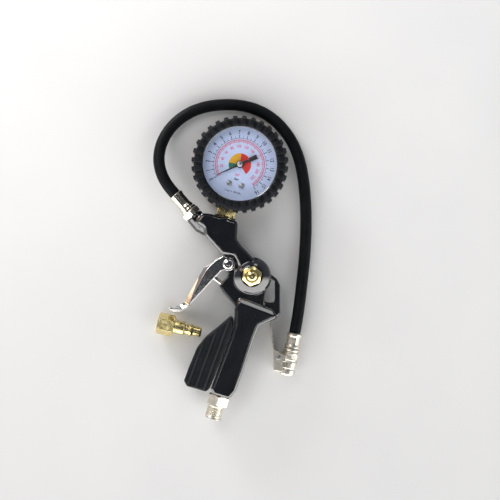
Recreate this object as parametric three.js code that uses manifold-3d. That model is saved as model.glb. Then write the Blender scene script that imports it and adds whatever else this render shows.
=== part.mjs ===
// Pistol-grip tyre inflator with a dial gauge, a hose with a clip-on chuck and a loose quick plug.
//
// Frame: millimetres. The inflator lies on its side on the plane Z = 0 with the dial facing +Z.
// +Y runs from the air inlet towards the gauge, +X from the lever towards the hanging loop.
// The origin is below the middle of the box around the inflator without its hose and chuck.

import * as THREE from 'three';
import Module from 'manifold-3d';
import { mergeVertices } from 'three/addons/utils/BufferGeometryUtils.js';

const wasm = await Module();
wasm.setup();

// ---------------------------------------------------------------- driving dimensions

const GAP = 0.3;                 // clearance kept between pieces that touch
const MID = 15;                  // height of the inflator's own mid-plane
const ORIGIN = { x: -14.69, y: -15.01 };

// Gauge: a nominal 63 mm Bourdon gauge in a rubber boot
const GAUGE = { x: 0, y: 67 };
const STEM_ANGLE = 254;          // direction from the dial centre to the stem
const CASE_R = 31.5;
const CASE_BACK = 3;
const CASE_FRONT = 26;
const BEZEL_R = 33.6;
const BEZEL_OPENING_R = 28.8;
const BEZEL_TOP = 31;
const BOOT_R = 35.8;
const BOOT_LUG_R = 37.8;
const BOOT_TOP = 33.4;
const BOOT_LUGS = 32;
const DIAL_R = 29.6;
const DIAL_Z = 21;
const DIAL_THICK = 0.6;
const POINTER_ANGLE = 204.3;
const POINTER_TIP_R = 20.6;
const POINTER_TAIL_R = 14.5;
const POINTER_Z = 23.2;

// Movement inside the gauge
const GEAR_MODULE = 0.35;
const PINION_TEETH = 10;
const SECTOR_TEETH = 80;         // teeth on a full wheel of the sector's radius
const SECTOR_TEETH_CUT = 12;
const SECTOR_ANGLE = 20;         // direction from the spindle to the sector's pivot
const GEAR_Z = 12;
const GEAR_THICK = 1.2;

// Die-cast body
const PIVOT = { x: -9.1, y: -11.1 };
const BOSS = { x: 9.4, y: -20.3, r: 14.8 };
const BOSS_TOP = 27.5;
const OUTLET = { x: -36.5, y: 27.1, angle: 131 };
const STEM_SEAT = 43.3;          // from the dial centre to the top of the neck
const STEM_BORE_R = 6.9;
const VALVE = { x: -16, y: -25.2, angle: -36 };
const VALVE_BORE_R = 2.8;
const VALVE_BORE_END = 25;
const INLET = { x: -16.2, y: -114.6, angle: 253.5 };
const INLET_BORE_R = 6.9;

// Lever
const LEVER_INNER = 8.3;         // half the gap between the two flanges
const LEVER_SHEET = 1.5;
const LEVER_EYE_R = 5.2;

// Hose, ferrules and chuck
const HOSE_R = 4.6;
const FERRULE_R = 5.9;
const CHUCK = { x: 43.5, y: -66.4, z: 8.3, angle: 258 };
const CHUCK_R = 6.6;
const CHUCK_LENGTH = 33.5;
const CHUCK_PIVOT = { s: 20.5, w: 9 };
const CLIP_SHEET = 1.1;
const CLIP_HALF = 8.2;

// Loose quick plug
const PLUG = { x: -65.5, y: -57.8, angle: -13 };
const PLUG_FLATS = 15;

const ROUND = 18;                // sides of a medium round piece
const FINE = 32;                 // sides of a large round piece
const SMALL = 10;                // sides of a pin or screw

// ---------------------------------------------------------------- materials

const finish = (color, roughness, metalness) => ({ color, roughness, metalness });

const FINISHES = {
  cast: finish(0x0d0f12, 0.28, 0.1),
  grip: finish(0x17191c, 0.6, 0),
  rubber: finish(0x141414, 0.8, 0),
  nickel: finish(0xb9b3a8, 0.24, 1),
  chrome: finish(0xc4c6c8, 0.14, 1),
  brass: finish(0xc79a45, 0.28, 1),
  steel: finish(0x8d8f92, 0.35, 1),
  white: finish(0xe9ebf2, 0.5, 0),
  glass: finish(0xe8f0f4, 0.05, 0),
  black: finish(0x101010, 0.5, 0),
};

// ---------------------------------------------------------------- geometry helpers

const radians = THREE.MathUtils.degToRad;
const polar = (radius, degrees) => [radius * Math.cos(radians(degrees)), radius * Math.sin(radians(degrees))];

function toSolid(geometry) {
  const bare = geometry.clone();
  bare.deleteAttribute('normal');
  bare.deleteAttribute('uv');
  const merged = mergeVertices(bare, 1e-4);
  const corners = merged.index.array;
  const triangles = [];
  for (let i = 0; i < corners.length; i += 3) {
    const [a, b, c] = corners.slice(i, i + 3);
    if (a !== b && b !== c && c !== a) triangles.push(a, b, c);
  }
  return new wasm.Manifold(new wasm.Mesh({
    numProp: 3,
    vertProperties: new Float32Array(merged.attributes.position.array),
    triVerts: new Uint32Array(triangles),
  }));
}

function toGeometry(solid) {
  const mesh = solid.getMesh();
  const geometry = new THREE.BufferGeometry();
  geometry.setAttribute('position', new THREE.BufferAttribute(mesh.vertProperties, 3));
  geometry.setIndex(new THREE.BufferAttribute(mesh.triVerts, 1));
  return geometry;
}

function join(...geometries) {
  return toGeometry(geometries.map(toSolid).reduce((whole, piece) => whole.add(piece)));
}

function cut(geometry, ...tools) {
  return toGeometry(tools.map(toSolid).reduce((whole, tool) => whole.subtract(tool), toSolid(geometry)));
}

// A closed outline of [x, y, corner radius] points, the corners rounded by curves
function outline(points) {
  const shape = new THREE.Shape();
  const corners = points.map(([x, y, r = 0]) => ({ at: new THREE.Vector2(x, y), r }));
  corners.forEach((corner, i) => {
    const before = corners[(i + corners.length - 1) % corners.length].at;
    const after = corners[(i + 1) % corners.length].at;
    const start = corner.at.clone().add(before.clone().sub(corner.at).setLength(corner.r));
    const end = corner.at.clone().add(after.clone().sub(corner.at).setLength(corner.r));
    if (i === 0) shape.moveTo(start.x, start.y);
    else shape.lineTo(start.x, start.y);
    if (corner.r > 0) shape.quadraticCurveTo(corner.at.x, corner.at.y, end.x, end.y);
  });
  shape.closePath();
  return shape;
}

// A slab from an outline, between two heights, its edges rounded by `edge`
function slab(shape, low, high, edge = 0, steps = 3, curveSegments = 4) {
  const geometry = new THREE.ExtrudeGeometry(shape, {
    depth: high - low - 2 * edge,
    bevelEnabled: edge > 0,
    bevelThickness: edge,
    bevelSize: edge,
    bevelOffset: -edge,
    bevelSegments: steps,
    curveSegments,
  });
  return geometry.translate(0, 0, low + edge);
}

// A turned piece on the Y axis from [radius, y] points; a profile off the axis closes on itself
function turned(profile, sides = ROUND) {
  const closed = profile[0][0] > 0 ? [...profile, profile[0]] : profile;
  const points = closed.map(([radius, along]) => new THREE.Vector2(radius, along));
  return new THREE.LatheGeometry(points, sides);
}

// The same piece stood up on the Z axis
function upright(profile, sides = ROUND) {
  return turned(profile, sides).rotateX(Math.PI / 2);
}

// A plain rod on the Y axis, from one place to another
function rod(radius, from, to, sides = ROUND) {
  return turned([[0, from], [radius, from], [radius, to], [0, to]], sides);
}

function post(radius, low, high, sides = ROUND) {
  return rod(radius, low, high, sides).rotateX(Math.PI / 2);
}

function sleeve(inner, outer, from, to, sides = ROUND) {
  return turned([[inner, from], [outer, from], [outer, to], [inner, to]], sides);
}

function block(width, length, height, x = 0, y = 0, z = 0) {
  return new THREE.BoxGeometry(width, length, height).translate(x, y, z);
}

// A hexagonal collar on the Y axis with chamfered corners and an optional bore
function hexagon(flats, from, to, bore = 0) {
  const corner = flats / Math.sqrt(3);
  const prism = new THREE.CylinderGeometry(corner, corner, to - from, 6).translate(0, (from + to) / 2, 0);
  const chamfer = corner - flats / 2;
  const turning = turned([
    [0, from], [corner - chamfer, from], [corner, from + chamfer * 0.6],
    [corner, to - chamfer * 0.6], [corner - chamfer, to], [0, to],
  ]);
  const nut = toSolid(prism).intersect(toSolid(turning));
  return bore > 0 ? toGeometry(nut.subtract(toSolid(rod(bore, from - 1, to + 1)))) : toGeometry(nut);
}

// A piece built on the Y axis, laid in the XY plane from a point in a direction
function laid(geometry, { x, y, z = MID, angle }) {
  return geometry.clone().rotateZ(radians(angle - 90)).translate(x, y, z);
}

// A bent strip of sheet: the points run along its outer face, the thickness goes to their left
function strip(points, thickness) {
  const path = points.map(([x, y]) => new THREE.Vector2(x, y));
  const inner = path.map((point, i) => {
    const back = path[Math.max(i - 1, 0)];
    const ahead = path[Math.min(i + 1, path.length - 1)];
    const before = point.equals(back) ? ahead.clone().sub(point) : point.clone().sub(back);
    const after = point.equals(ahead) ? before : ahead.clone().sub(point);
    const left = before.normalize().add(after.clone().normalize()).normalize();
    const normal = new THREE.Vector2(-left.y, left.x);
    const miter = thickness / Math.max(0.5, Math.abs(normal.dot(new THREE.Vector2(-before.y, before.x))));
    return point.clone().add(normal.multiplyScalar(miter));
  });
  return outline([...path, ...inner.reverse()].map((point) => [point.x, point.y]));
}

// A coil spring on the Y axis, its wire following a helix
function coil(radius, wire, from, to, turns) {
  const steps = Math.round(turns * 9);
  const points = Array.from({ length: steps + 1 }, (_, i) => {
    const turn = (2 * Math.PI * turns * i) / steps;
    const along = from + wire + ((to - from - 2 * wire) * i) / steps;
    return new THREE.Vector3(radius * Math.cos(turn), along, radius * Math.sin(turn));
  });
  const section = new THREE.Shape().absarc(0, 0, wire, 0, 2 * Math.PI);
  return new THREE.ExtrudeGeometry(section, {
    steps,
    curveSegments: 3,
    bevelEnabled: false,
    extrudePath: new THREE.CatmullRomCurve3(points),
  });
}

// A ring of round section on the Y axis
function ring(radius, section, along, sides = ROUND) {
  const profile = Array.from({ length: 6 }, (_, i) => {
    const [out, up] = polar(section, i * 60);
    return [radius + out, along + up];
  });
  return turned(profile, sides);
}

// ---------------------------------------------------------------- scene graph

const inflator = new THREE.Group();
inflator.position.set(-ORIGIN.x, -ORIGIN.y, 0);

function add(name, geometry, finishName) {
  const mesh = new THREE.Mesh(geometry, new THREE.MeshStandardMaterial(FINISHES[finishName]));
  mesh.name = name;
  inflator.add(mesh);
}

// ---------------------------------------------------------------- body and grip

const loopOpening = outline([
  [24.6, -23.6, 0.6], [27.3, -24.2, 0.8], [27.3, -42.2, 3], [13.2, -38.6, 1], [18.6, -33.6, 1],
  [22.6, -28.6, 1],
]);

function bodyCasting() {
  const neck = slab(outline([
    [-3.8, 22.8], [-1.6, 20.6], [-2.4, 8.6], [1, 3.6], [8.4, -4], [14, -10], [1, -17], [-5, -5],
    [-14.6, -3.2], [-16.6, -0.8], [-27.2, 11], [-28.4, 17.6], [-34.6, 21.6], [-30, 29], [-22.4, 28.2],
  ]), MID - 10.5, MID + 10.5, 3);
  const middle = slab(outline([
    [8, -3.4], [22, -18], [20, -34], [17.4, -56.5], [-4, -58], [-4.2, -44.5], [-14.4, -32.6], [-16.4, -28.4],
    [-12.3, -22.6], [-8.9, -19.6], [-12.8, -14.8], [-14.1, -9], [-12.8, -3],
  ]), MID - 7.8, MID + 7.8, 1.4);
  const loop = slab(outline([
    [7, -2.6], [22.1, -17.2], [29, -22.4], [31.6, -27.6], [31.6, -50.6], [28, -54.6], [14, -60], [0, -50],
    [2, -10],
  ]), MID - 5.5, MID + 5.5, 1.8);
  const handle = slab(outline([
    [6, -40], [16.8, -45], [17.6, -54], [15.6, -60.6], [11.4, -68.4], [3.2, -93.2], [-3.6, -111],
    [-8.6, -116.4], [-20.4, -112.8], [-22.9, -108.8], [-10.2, -75.6], [-4.6, -60], [-4.2, -46],
  ]), MID - 10.5, MID + 10.5, 3, 4);
  const boss = upright([
    [0, 0], [BOSS.r - 3, 0], [BOSS.r, 3], [BOSS.r, BOSS_TOP - 4.4], [BOSS.r - 3, BOSS_TOP - 1.4],
    [BOSS.r - 4.8, BOSS_TOP], [0, BOSS_TOP],
  ], FINE).translate(BOSS.x, BOSS.y, 0);
  const outletBoss = laid(rod(7, -16, 0), OUTLET);
  const stemSocket = laid(rod(10.2, STEM_SEAT, STEM_SEAT + 12), { ...GAUGE, angle: STEM_ANGLE });
  const solid = join(neck, middle, handle, boss, outletBoss, stemSocket);
  const holed = cut(loop, slab(loopOpening, 0, 2 * MID));
  const drillings = [
    laid(rod(11, STEM_SEAT - 8, STEM_SEAT), { ...GAUGE, angle: STEM_ANGLE }),
    laid(rod(STEM_BORE_R, STEM_SEAT - 1, STEM_SEAT + 12), { ...GAUGE, angle: STEM_ANGLE }),
    laid(rod(2.2, 0, 42, SMALL), { x: -14.8, y: 15.2, angle: -55.1 }),
    laid(rod(4.9, -12, 1), OUTLET),
    laid(rod(3, -22, -11, SMALL), OUTLET),
    post(5.2, 9, BOSS_TOP + 1).translate(BOSS.x, BOSS.y, 0),
    laid(rod(1.7, 0, 21, SMALL), { x: BOSS.x, y: BOSS.y, angle: 231 }),
    laid(rod(VALVE_BORE_R, -4, VALVE_BORE_END), VALVE),
    laid(rod(3, -78, 1, SMALL), INLET),
    laid(rod(INLET_BORE_R, -12, 4), INLET),
    post(1.9, 0, 2 * MID, SMALL).translate(PIVOT.x, PIVOT.y, 0),
  ];
  return cut(join(solid, holed), ...drillings);
}

function fingerGrip() {
  const shell = slab(outline([
    [-5.8, -50.6], [-17.4, -60.8], [-26.6, -68], [-33.6, -76.4], [-39.7, -90.9], [-43.9, -102.4],
    [-41.6, -106.4], [-26.4, -110.8], [-23.5, -108], [-10.7, -75.6], [-5.2, -59],
  ]), MID - 11, MID + 11, 3, 4);
  const flutes = [];
  for (const side of [-1, 1]) {
    for (const offset of [-17.4, -10.4, -3.4]) {
      const flute = rod(2.2, -44, 38, 12);
      flutes.push(flute.rotateZ(radians(-20)).translate(-14.2 + offset, -84, MID + side * 12.2));
    }
  }
  return cut(shell, ...flutes);
}

add('body_casting', bodyCasting(), 'cast');
add('finger_grip', fingerGrip(), 'grip');

// ---------------------------------------------------------------- air inlet

const inletNipple = join(
  sleeve(4, 6.5, -11.5, 19.2),
  hexagon(16, GAP, 8, 5),
);
add('inlet_nipple', laid(inletNipple, INLET), 'nickel');
add('inlet_strainer', laid(turned([
  [0, -9.2], [1.9, -9.2], [3.6, -2], [3.6, 6], [3, 6], [3, -2], [1.5, -8.6], [0, -8.6],
], SMALL), INLET), 'steel');

// ---------------------------------------------------------------- lever and its pivot

function triggerLever() {
  const flangeOutline = outline([
    [-13.2, -4.6, 2], [-19, -7.2, 2], [-28.6, -13.9, 2], [-43.6, -40.4, 1], [-46.4, -42.9], [-52.5, -44.3],
    [-55.9, -44.2], [-55.2, -46.4, 1], [-51.2, -48.4, 1], [-46.6, -48, 1], [-41.9, -45.2, 1],
    [-14.2, -15.8, 2], [-10, -15.4, 1], [-6, -11, 1], [-8, -7, 1],
  ]);
  const flange = (low) => join(
    slab(flangeOutline, low, low + LEVER_SHEET),
    post(LEVER_EYE_R, low, low + LEVER_SHEET).translate(PIVOT.x, PIVOT.y, 0),
  );
  const webPath = [
    [-23.5, -10.4], [-28.6, -13.9], [-43.6, -40.4], [-46.4, -42.9], [-52.5, -44.3], [-55.9, -44.2],
  ];
  const web = slab(
    strip(webPath, LEVER_SHEET),
    MID - LEVER_INNER - LEVER_SHEET,
    MID + LEVER_INNER + LEVER_SHEET,
  );
  const pinHole = post(1.9, 0, 2 * MID, SMALL).translate(PIVOT.x, PIVOT.y, 0);
  return cut(join(flange(MID + LEVER_INNER), flange(MID - LEVER_INNER - LEVER_SHEET), web), pinHole);
}

add('trigger_lever', triggerLever(), 'chrome');

const leverTop = MID + LEVER_INNER + LEVER_SHEET + GAP;
const leverBottom = MID - LEVER_INNER - LEVER_SHEET - GAP;
add('trigger_pivot_pin', upright([
  [0, leverBottom - 1.8], [1.6, leverBottom - 1.8], [1.6, leverTop], [4.2, leverTop],
  [4.1, leverTop + 0.8], [3.2, leverTop + 1.6], [1.7, leverTop + 2.1], [0, leverTop + 2.2],
]).translate(PIVOT.x, PIVOT.y, 0), 'chrome');
add('trigger_pivot_clip', upright([
  [1.9, leverBottom - 1.1], [3.4, leverBottom - 1.1], [3.4, leverBottom - 0.3], [1.9, leverBottom - 0.3],
], SMALL).translate(PIVOT.x, PIVOT.y, 0), 'steel');

// ---------------------------------------------------------------- air valve behind the lever

add('valve_bushing', laid(sleeve(1.95, VALVE_BORE_R - GAP, 4.2, 10), VALVE), 'brass');
add('valve_plunger', laid(turned([
  [0, -14.6], [1.1, -14.6], [1.65, -14], [1.65, 11.2], [2.4, 11.6], [2.4, 13], [0.9, 13.4], [0.9, 15],
  [0, 15],
], SMALL), VALVE), 'nickel');
add('valve_spring', laid(coil(1.7, 0.3, 16.2, VALVE_BORE_END - GAP, 4), VALVE), 'steel');

// ---------------------------------------------------------------- bleed valve in the round boss

const bleedAt = (geometry) => geometry.translate(BOSS.x, BOSS.y, 0);
const bleedBushing = cut(
  join(hexagon(14, BOSS_TOP + GAP, 32).rotateX(Math.PI / 2).rotateZ(radians(-10)), post(4.9, 16, 28)),
  post(2.1, 15, 33),
  post(4.6, 26.5, 33),
);
add('bleed_bushing', bleedAt(bleedBushing), 'brass');
add('bleed_seal', bleedAt(ring(2.9, 0.55, 14.8, 14).rotateX(Math.PI / 2)), 'rubber');
add('bleed_button', bleedAt(upright([
  [0, 12.6], [2.2, 12.6], [2.2, 13.8], [1.7, 13.9], [1.7, 29.6], [4.25, 29.6], [4.25, 32.6],
  [3.9, 33.8], [2.6, 34.8], [0, 35.2],
])), 'brass');
add('bleed_spring', bleedAt(coil(3.2, 0.35, 26.8, 29.4, 2).rotateX(Math.PI / 2)), 'steel');

// ---------------------------------------------------------------- gauge

const gaugeAt = (geometry) => geometry.translate(GAUGE.x, GAUGE.y, 0);
const stemFrom = { ...GAUGE, angle: STEM_ANGLE };

function gaugeBoot() {
  const rim = BEZEL_TOP + GAP;
  const shell = upright([
    [21, 0], [33, 0], [BOOT_R, 3.4], [BOOT_R, 29.6], [34.2, 31.9], [30.2, 32.2], [29.4, 31.8],
    [29.4, rim], [BEZEL_R + GAP, rim], [BEZEL_R + GAP, CASE_BACK - GAP], [21, CASE_BACK - GAP],
  ], BOOT_LUGS);
  const lugProfile = outline([
    [33, 0.4], [BOOT_LUG_R, 5], [BOOT_LUG_R, 28.6], [34.6, BOOT_TOP - 0.4], [31, BOOT_TOP],
    [30.3, BOOT_TOP - 0.6], [30.3, rim + 0.5], [33, rim + 0.5], [34.4, 31.2], [35, 28.6], [35, 4],
  ]);
  const lug = slab(lugProfile, -1.9, 1.9).rotateX(Math.PI / 2);
  const lugs = Array.from({ length: BOOT_LUGS }, (_, i) => {
    return lug.clone().rotateZ(((i + 0.5) * 2 * Math.PI) / BOOT_LUGS);
  });
  const stemHole = laid(block(17, 20, 17, 0, 34, 0), { x: 0, y: 0, angle: STEM_ANGLE });
  return cut(join(shell, ...lugs), stemHole);
}
add('gauge_boot', gaugeAt(gaugeBoot()), 'rubber');

const caseShell = upright([
  [0, CASE_BACK], [30, CASE_BACK], [CASE_R, 4.6], [CASE_R, 23], [32.8, 23.6], [32.8, CASE_FRONT],
  [30.6, CASE_FRONT], [30.6, CASE_BACK + 0.9], [0, CASE_BACK + 0.9],
], FINE);
const stemHole = laid(rod(5.9, 25, 36), { x: 0, y: 0, angle: STEM_ANGLE });
add('gauge_case', gaugeAt(cut(caseShell, stemHole)), 'black');

add('gauge_bezel', gaugeAt(upright([
  [BEZEL_R, 24], [BEZEL_R, BEZEL_TOP - 0.8], [BEZEL_R - 0.8, BEZEL_TOP], [BEZEL_OPENING_R, BEZEL_TOP],
  [BEZEL_OPENING_R, BEZEL_TOP - 0.8], [BEZEL_R - 0.6, BEZEL_TOP - 0.9], [BEZEL_R - 0.6, 24],
], FINE)), 'black');
add('gauge_lens', gaugeAt(post(32.4, 28, BEZEL_TOP - 1.2, FINE)), 'glass');
add('lens_gasket', gaugeAt(upright([
  [30.4, 26.3], [32.4, 26.3], [32.4, 27.7], [30.4, 27.7],
], FINE)), 'rubber');

const dialScrewSpots = [-17, 17].map((side) => polar(16.4, STEM_ANGLE + 3 + side));
const dialHoles = dialScrewSpots.map(([x, y]) => post(1.5, DIAL_Z - 1, DIAL_Z + 2, SMALL).translate(x, y, 0));
add('gauge_dial', gaugeAt(cut(
  post(DIAL_R, DIAL_Z, DIAL_Z + DIAL_THICK, FINE),
  post(1.4, DIAL_Z - 1, DIAL_Z + 2, SMALL),
  ...dialHoles,
)), 'white');
dialScrewSpots.forEach(([x, y], i) => {
  add(`dial_screw_${i + 1}`, gaugeAt(upright([
    [0, 14], [1.15, 14], [1.15, DIAL_Z + DIAL_THICK + GAP], [2.1, DIAL_Z + DIAL_THICK + GAP],
    [2.1, DIAL_Z + DIAL_THICK + 1.1], [1.2, DIAL_Z + DIAL_THICK + 1.6], [0, DIAL_Z + DIAL_THICK + 1.6],
  ], SMALL).translate(x, y, 0)), 'steel');
});

// Brass stem: a block inside the case, a square for the spanner and a threaded end in the neck
function gaugeStem() {
  const inside = block(20, 12, 11, 0, 18, -1.2);
  const neck = rod(5.4, 23, 35);
  const square = block(14, 7.6, 14, 0, 38.2, 0);
  const thread = rod(6.5, 41.5, STEM_SEAT + 10.6);
  const air = rod(1.6, 20, STEM_SEAT + 12, SMALL);
  const lying = laid(cut(join(inside, neck, square, thread), air), stemFrom);
  const tapped = dialScrewSpots.map(([x, y]) => gaugeAt(post(1.45, 11, 30, SMALL).translate(x, y, 0)));
  return cut(lying, ...tapped);
}
add('gauge_stem', gaugeStem(), 'brass');
add('stem_seal', laid(sleeve(6.9, 8.6, STEM_SEAT - 1.1, STEM_SEAT - GAP), stemFrom), 'rubber');

// C-shaped Bourdon tube from the stem block round to its free tip, and the tip's cap
const TUBE_R = 24.6;
const TUBE_Z = 12.5;
const TUBE_START = STEM_ANGLE - 27;
const TUBE_END = -10;
const tubePath = Array.from({ length: 13 }, (_, i) => {
  const [x, y] = polar(TUBE_R, TUBE_START + ((TUBE_END - TUBE_START) * i) / 12);
  return new THREE.Vector3(x, y, TUBE_Z);
});
const tubeSection = outline([
  [-4.5, -0.6], [-3.6, -1.4], [3.6, -1.4], [4.5, -0.6], [4.5, 0.6], [3.6, 1.4], [-3.6, 1.4], [-4.5, 0.6],
]);
add('bourdon_tube', gaugeAt(new THREE.ExtrudeGeometry(tubeSection, {
  steps: 20,
  bevelEnabled: false,
  extrudePath: new THREE.CatmullRomCurve3(tubePath),
})), 'brass');
add('bourdon_tip', gaugeAt(slab(outline([
  [23, -4.8], [26, -5.2], [25.4, -9], [22.8, -14.6], [19.4, -13.2], [21.8, -8],
]), 8.6, 13.4)), 'brass');

// Movement: two plates, the toothed sector, its link and the pinion that carries the pointer
const sectorPivot = polar((GEAR_MODULE * (PINION_TEETH + SECTOR_TEETH)) / 2, SECTOR_ANGLE);
const linkPin = [sectorPivot[0], sectorPivot[1] - 7];
const linkEnd = [20.6, -13];
const pillars = [[-4.4, -8.2], [18.2, 8.9]];
const plateOutline = outline([
  [-5.5, 4.5, 2], [15.5, 12, 2], [21, 8, 2], [18.6, 1.4, 2], [6, -6, 2], [1.6, -11.2, 1], [-7.6, -9.4, 1],
]);

function movementPlate(low, high, extras) {
  const plate = join(slab(plateOutline, low, high), ...extras);
  return gaugeAt(cut(
    plate,
    post(1.2, low - 1, high + 1, SMALL),
    post(1.1, low - 1, high + 1, SMALL).translate(...sectorPivot, 0),
  ));
}
const pillarPosts = pillars.map(([x, y]) => post(1.3, 9, 16.1, 10).translate(x, y, 0));
add('movement_lower_plate', movementPlate(8.6, 9.8, pillarPosts), 'brass');
add('movement_upper_plate', movementPlate(16.4, 17.6, []), 'brass');

// A run of stub teeth standing on a wheel of the given size, centred on `middle` degrees
function teeth(count, onWheel, middle) {
  const pitchR = (GEAR_MODULE * onWheel) / 2;
  const step = 360 / onWheel;
  const tooth = outline([
    [pitchR - GEAR_MODULE * 1.3, -0.26], [pitchR, -0.19], [pitchR + GEAR_MODULE * 0.75, -0.08],
    [pitchR + GEAR_MODULE * 0.75, 0.08], [pitchR, 0.19], [pitchR - GEAR_MODULE * 1.3, 0.26],
  ]);
  return Array.from({ length: count }, (_, i) => {
    const at = middle + (i - (count - 1) / 2) * step;
    return slab(tooth, GEAR_Z, GEAR_Z + GEAR_THICK).rotateZ(radians(at));
  });
}

function sectorGear() {
  const rootR = GEAR_MODULE * (SECTOR_TEETH / 2 - 1.1);
  const facing = SECTOR_ANGLE + 180;
  const middle = facing - 16.5;
  const fan = new THREE.Shape();
  fan.moveTo(0, 0);
  fan.lineTo(...polar(rootR, middle - 27));
  fan.absarc(0, 0, rootR, radians(middle - 27), radians(middle + 27));
  fan.closePath();
  const plate = slab(fan, GEAR_Z, GEAR_Z + GEAR_THICK, 0, 1, 8);
  const hub = post(2.4, GEAR_Z - 1.6, GEAR_Z + GEAR_THICK + 1.4, SMALL);
  const tail = block(2.6, 8.4, GEAR_THICK, 0, -4, GEAR_Z + GEAR_THICK / 2);
  const stud = post(0.8, GEAR_Z, 15.4, 10).translate(0, -7, 0);
  const step = 360 / SECTOR_TEETH;
  const cutTeeth = teeth(SECTOR_TEETH_CUT, SECTOR_TEETH, facing - 3.5 * step);
  const arbor = post(0.8, 7, 18.6, 10);
  const window = post(3, 8, 18, SMALL).translate(...polar(8.2, middle), 0);
  const wheel = join(cut(plate, window), hub, tail, stud, arbor, ...cutTeeth);
  return wheel.translate(...sectorPivot, 0);
}
add('sector_gear', gaugeAt(sectorGear()), 'brass');

const linkAngle = Math.atan2(linkEnd[1] - linkPin[1], linkEnd[0] - linkPin[0]);
const linkLength = Math.hypot(linkEnd[1] - linkPin[1], linkEnd[0] - linkPin[0]);
const linkBar = join(
  block(linkLength, 1.8, 0.8, linkLength / 2, 0, 14.4),
  post(1.9, 14, 14.8, SMALL),
  post(1.9, 14, 14.8, SMALL).translate(linkLength, 0, 0),
);
add('movement_link', gaugeAt(cut(
  linkBar,
  post(1.1, 13, 16, 10),
  post(1, 13, 16, 10).translate(linkLength, 0, 0),
).rotateZ(linkAngle).translate(...linkPin, 0)), 'brass');

const pinionRootR = GEAR_MODULE * (PINION_TEETH / 2 - 1.1);
const pinionSpindle = join(
  post(0.85, 7, 24.4, 12),
  post(pinionRootR, GEAR_Z - 0.6, GEAR_Z + GEAR_THICK + 0.6, 20),
  ...teeth(PINION_TEETH, PINION_TEETH, SECTOR_ANGLE),
);
add('pinion_spindle', gaugeAt(pinionSpindle), 'steel');

const hairspringPath = Array.from({ length: 49 }, (_, i) => {
  const [x, y] = polar(1.9 + (i / 48) * 3.4, i * 22.5);
  return new THREE.Vector3(x, y, 15);
});
const hairspringSection = outline([[-0.4, -0.1], [0.4, -0.1], [0.4, 0.1], [-0.4, 0.1]]);
add('hairspring', gaugeAt(new THREE.ExtrudeGeometry(hairspringSection, {
  steps: 48,
  bevelEnabled: false,
  extrudePath: new THREE.CatmullRomCurve3(hairspringPath),
})), 'steel');

const pointerShape = outline([
  [POINTER_TIP_R, -0.25], [POINTER_TIP_R, 0.25], [2.4, 1.1], [-7.6, 0.9], [-8.4, 1.8], [-POINTER_TAIL_R, 1.9],
  [-POINTER_TAIL_R, -1.9], [-8.4, -1.8], [-7.6, -0.9], [2.4, -1.1],
]);
const pointer = cut(
  join(slab(pointerShape, POINTER_Z, POINTER_Z + 0.5), post(3, POINTER_Z, POINTER_Z + 0.5, 24)),
  post(1.15, POINTER_Z - 1, POINTER_Z + 2, SMALL),
);
add('pointer', gaugeAt(pointer.rotateZ(radians(POINTER_ANGLE))), 'black');
add('pointer_cap', gaugeAt(upright([
  [0, 24.7], [2.2, 24.7], [2.2, 25.4], [1.5, 25.9], [0, 26],
], 20)), 'steel');

// ---------------------------------------------------------------- hose, its nipple and ferrules

const crimped = (from, to) => {
  const step = (to - from) / 5;
  return turned([
    [3.5, from], [FERRULE_R, from], [FERRULE_R, from + step], [FERRULE_R - 0.5, from + step + 0.4],
    [FERRULE_R - 0.5, to - step - 0.4], [FERRULE_R, to - step], [FERRULE_R, to], [3.5, to],
  ]);
};

const outletNipple = cut(
  join(rod(4.6, -10.5, 1), hexagon(14, GAP, 5), rod(6.6, 4.6, 6.9), rod(3.1, 6, 20.5)),
  rod(1.9, -11, 21, SMALL),
);
add('outlet_nipple', laid(outletNipple, OUTLET), 'nickel');
add('hose_ferrule_gun', laid(crimped(7.2, 22), OUTLET), 'nickel');

const hoseRoute = [
  [-51.1, 43.9, 15], [-55.2, 48.7, 15], [-59.5, 55, 14.6], [-62.8, 62.8, 13.4], [-64.3, 71.2, 11.6],
  [-63.6, 79.8, 9.6], [-60.8, 88.5, 7.6], [-55.7, 96.8, 6.1], [-48.2, 104.4, 5.2], [-38.7, 110.4, 4.8],
  [-27.7, 114.2, 4.7], [-15.8, 115.9, 4.7], [-3.2, 115.8, 4.7], [7.9, 113.8, 4.7], [18.2, 109.8, 4.7],
  [27.8, 103.3, 4.7], [36, 94.6, 4.7], [42.8, 83.7, 4.7], [47.5, 71.1, 4.7], [50.4, 56.9, 4.7],
  [52, 41.1, 4.7], [52.6, 23.7, 4.7], [52.2, 6.3, 4.7], [51, -11.1, 4.9], [49.1, -28.4, 5.8],
  [46.9, -45.8, 7.4], [43.56, -66.1, 8.3],
];
add('hose', new THREE.ExtrudeGeometry(new THREE.Shape().absarc(0, 0, HOSE_R, 0, 2 * Math.PI), {
  steps: 36,
  curveSegments: 5,
  bevelEnabled: false,
  extrudePath: new THREE.CatmullRomCurve3(hoseRoute.map(([x, y, z]) => new THREE.Vector3(x, y, z))),
}), 'rubber');

// ---------------------------------------------------------------- clip-on chuck

add('hose_ferrule_chuck', laid(crimped(0, 12), CHUCK), 'nickel');
add('chuck_tail', laid(cut(
  join(rod(3.1, 1.4, 13), rod(6.6, 12.3, 14.3), rod(4.3, 14, 18)),
  rod(1.6, 1, 19, SMALL),
), CHUCK), 'nickel');

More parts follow.
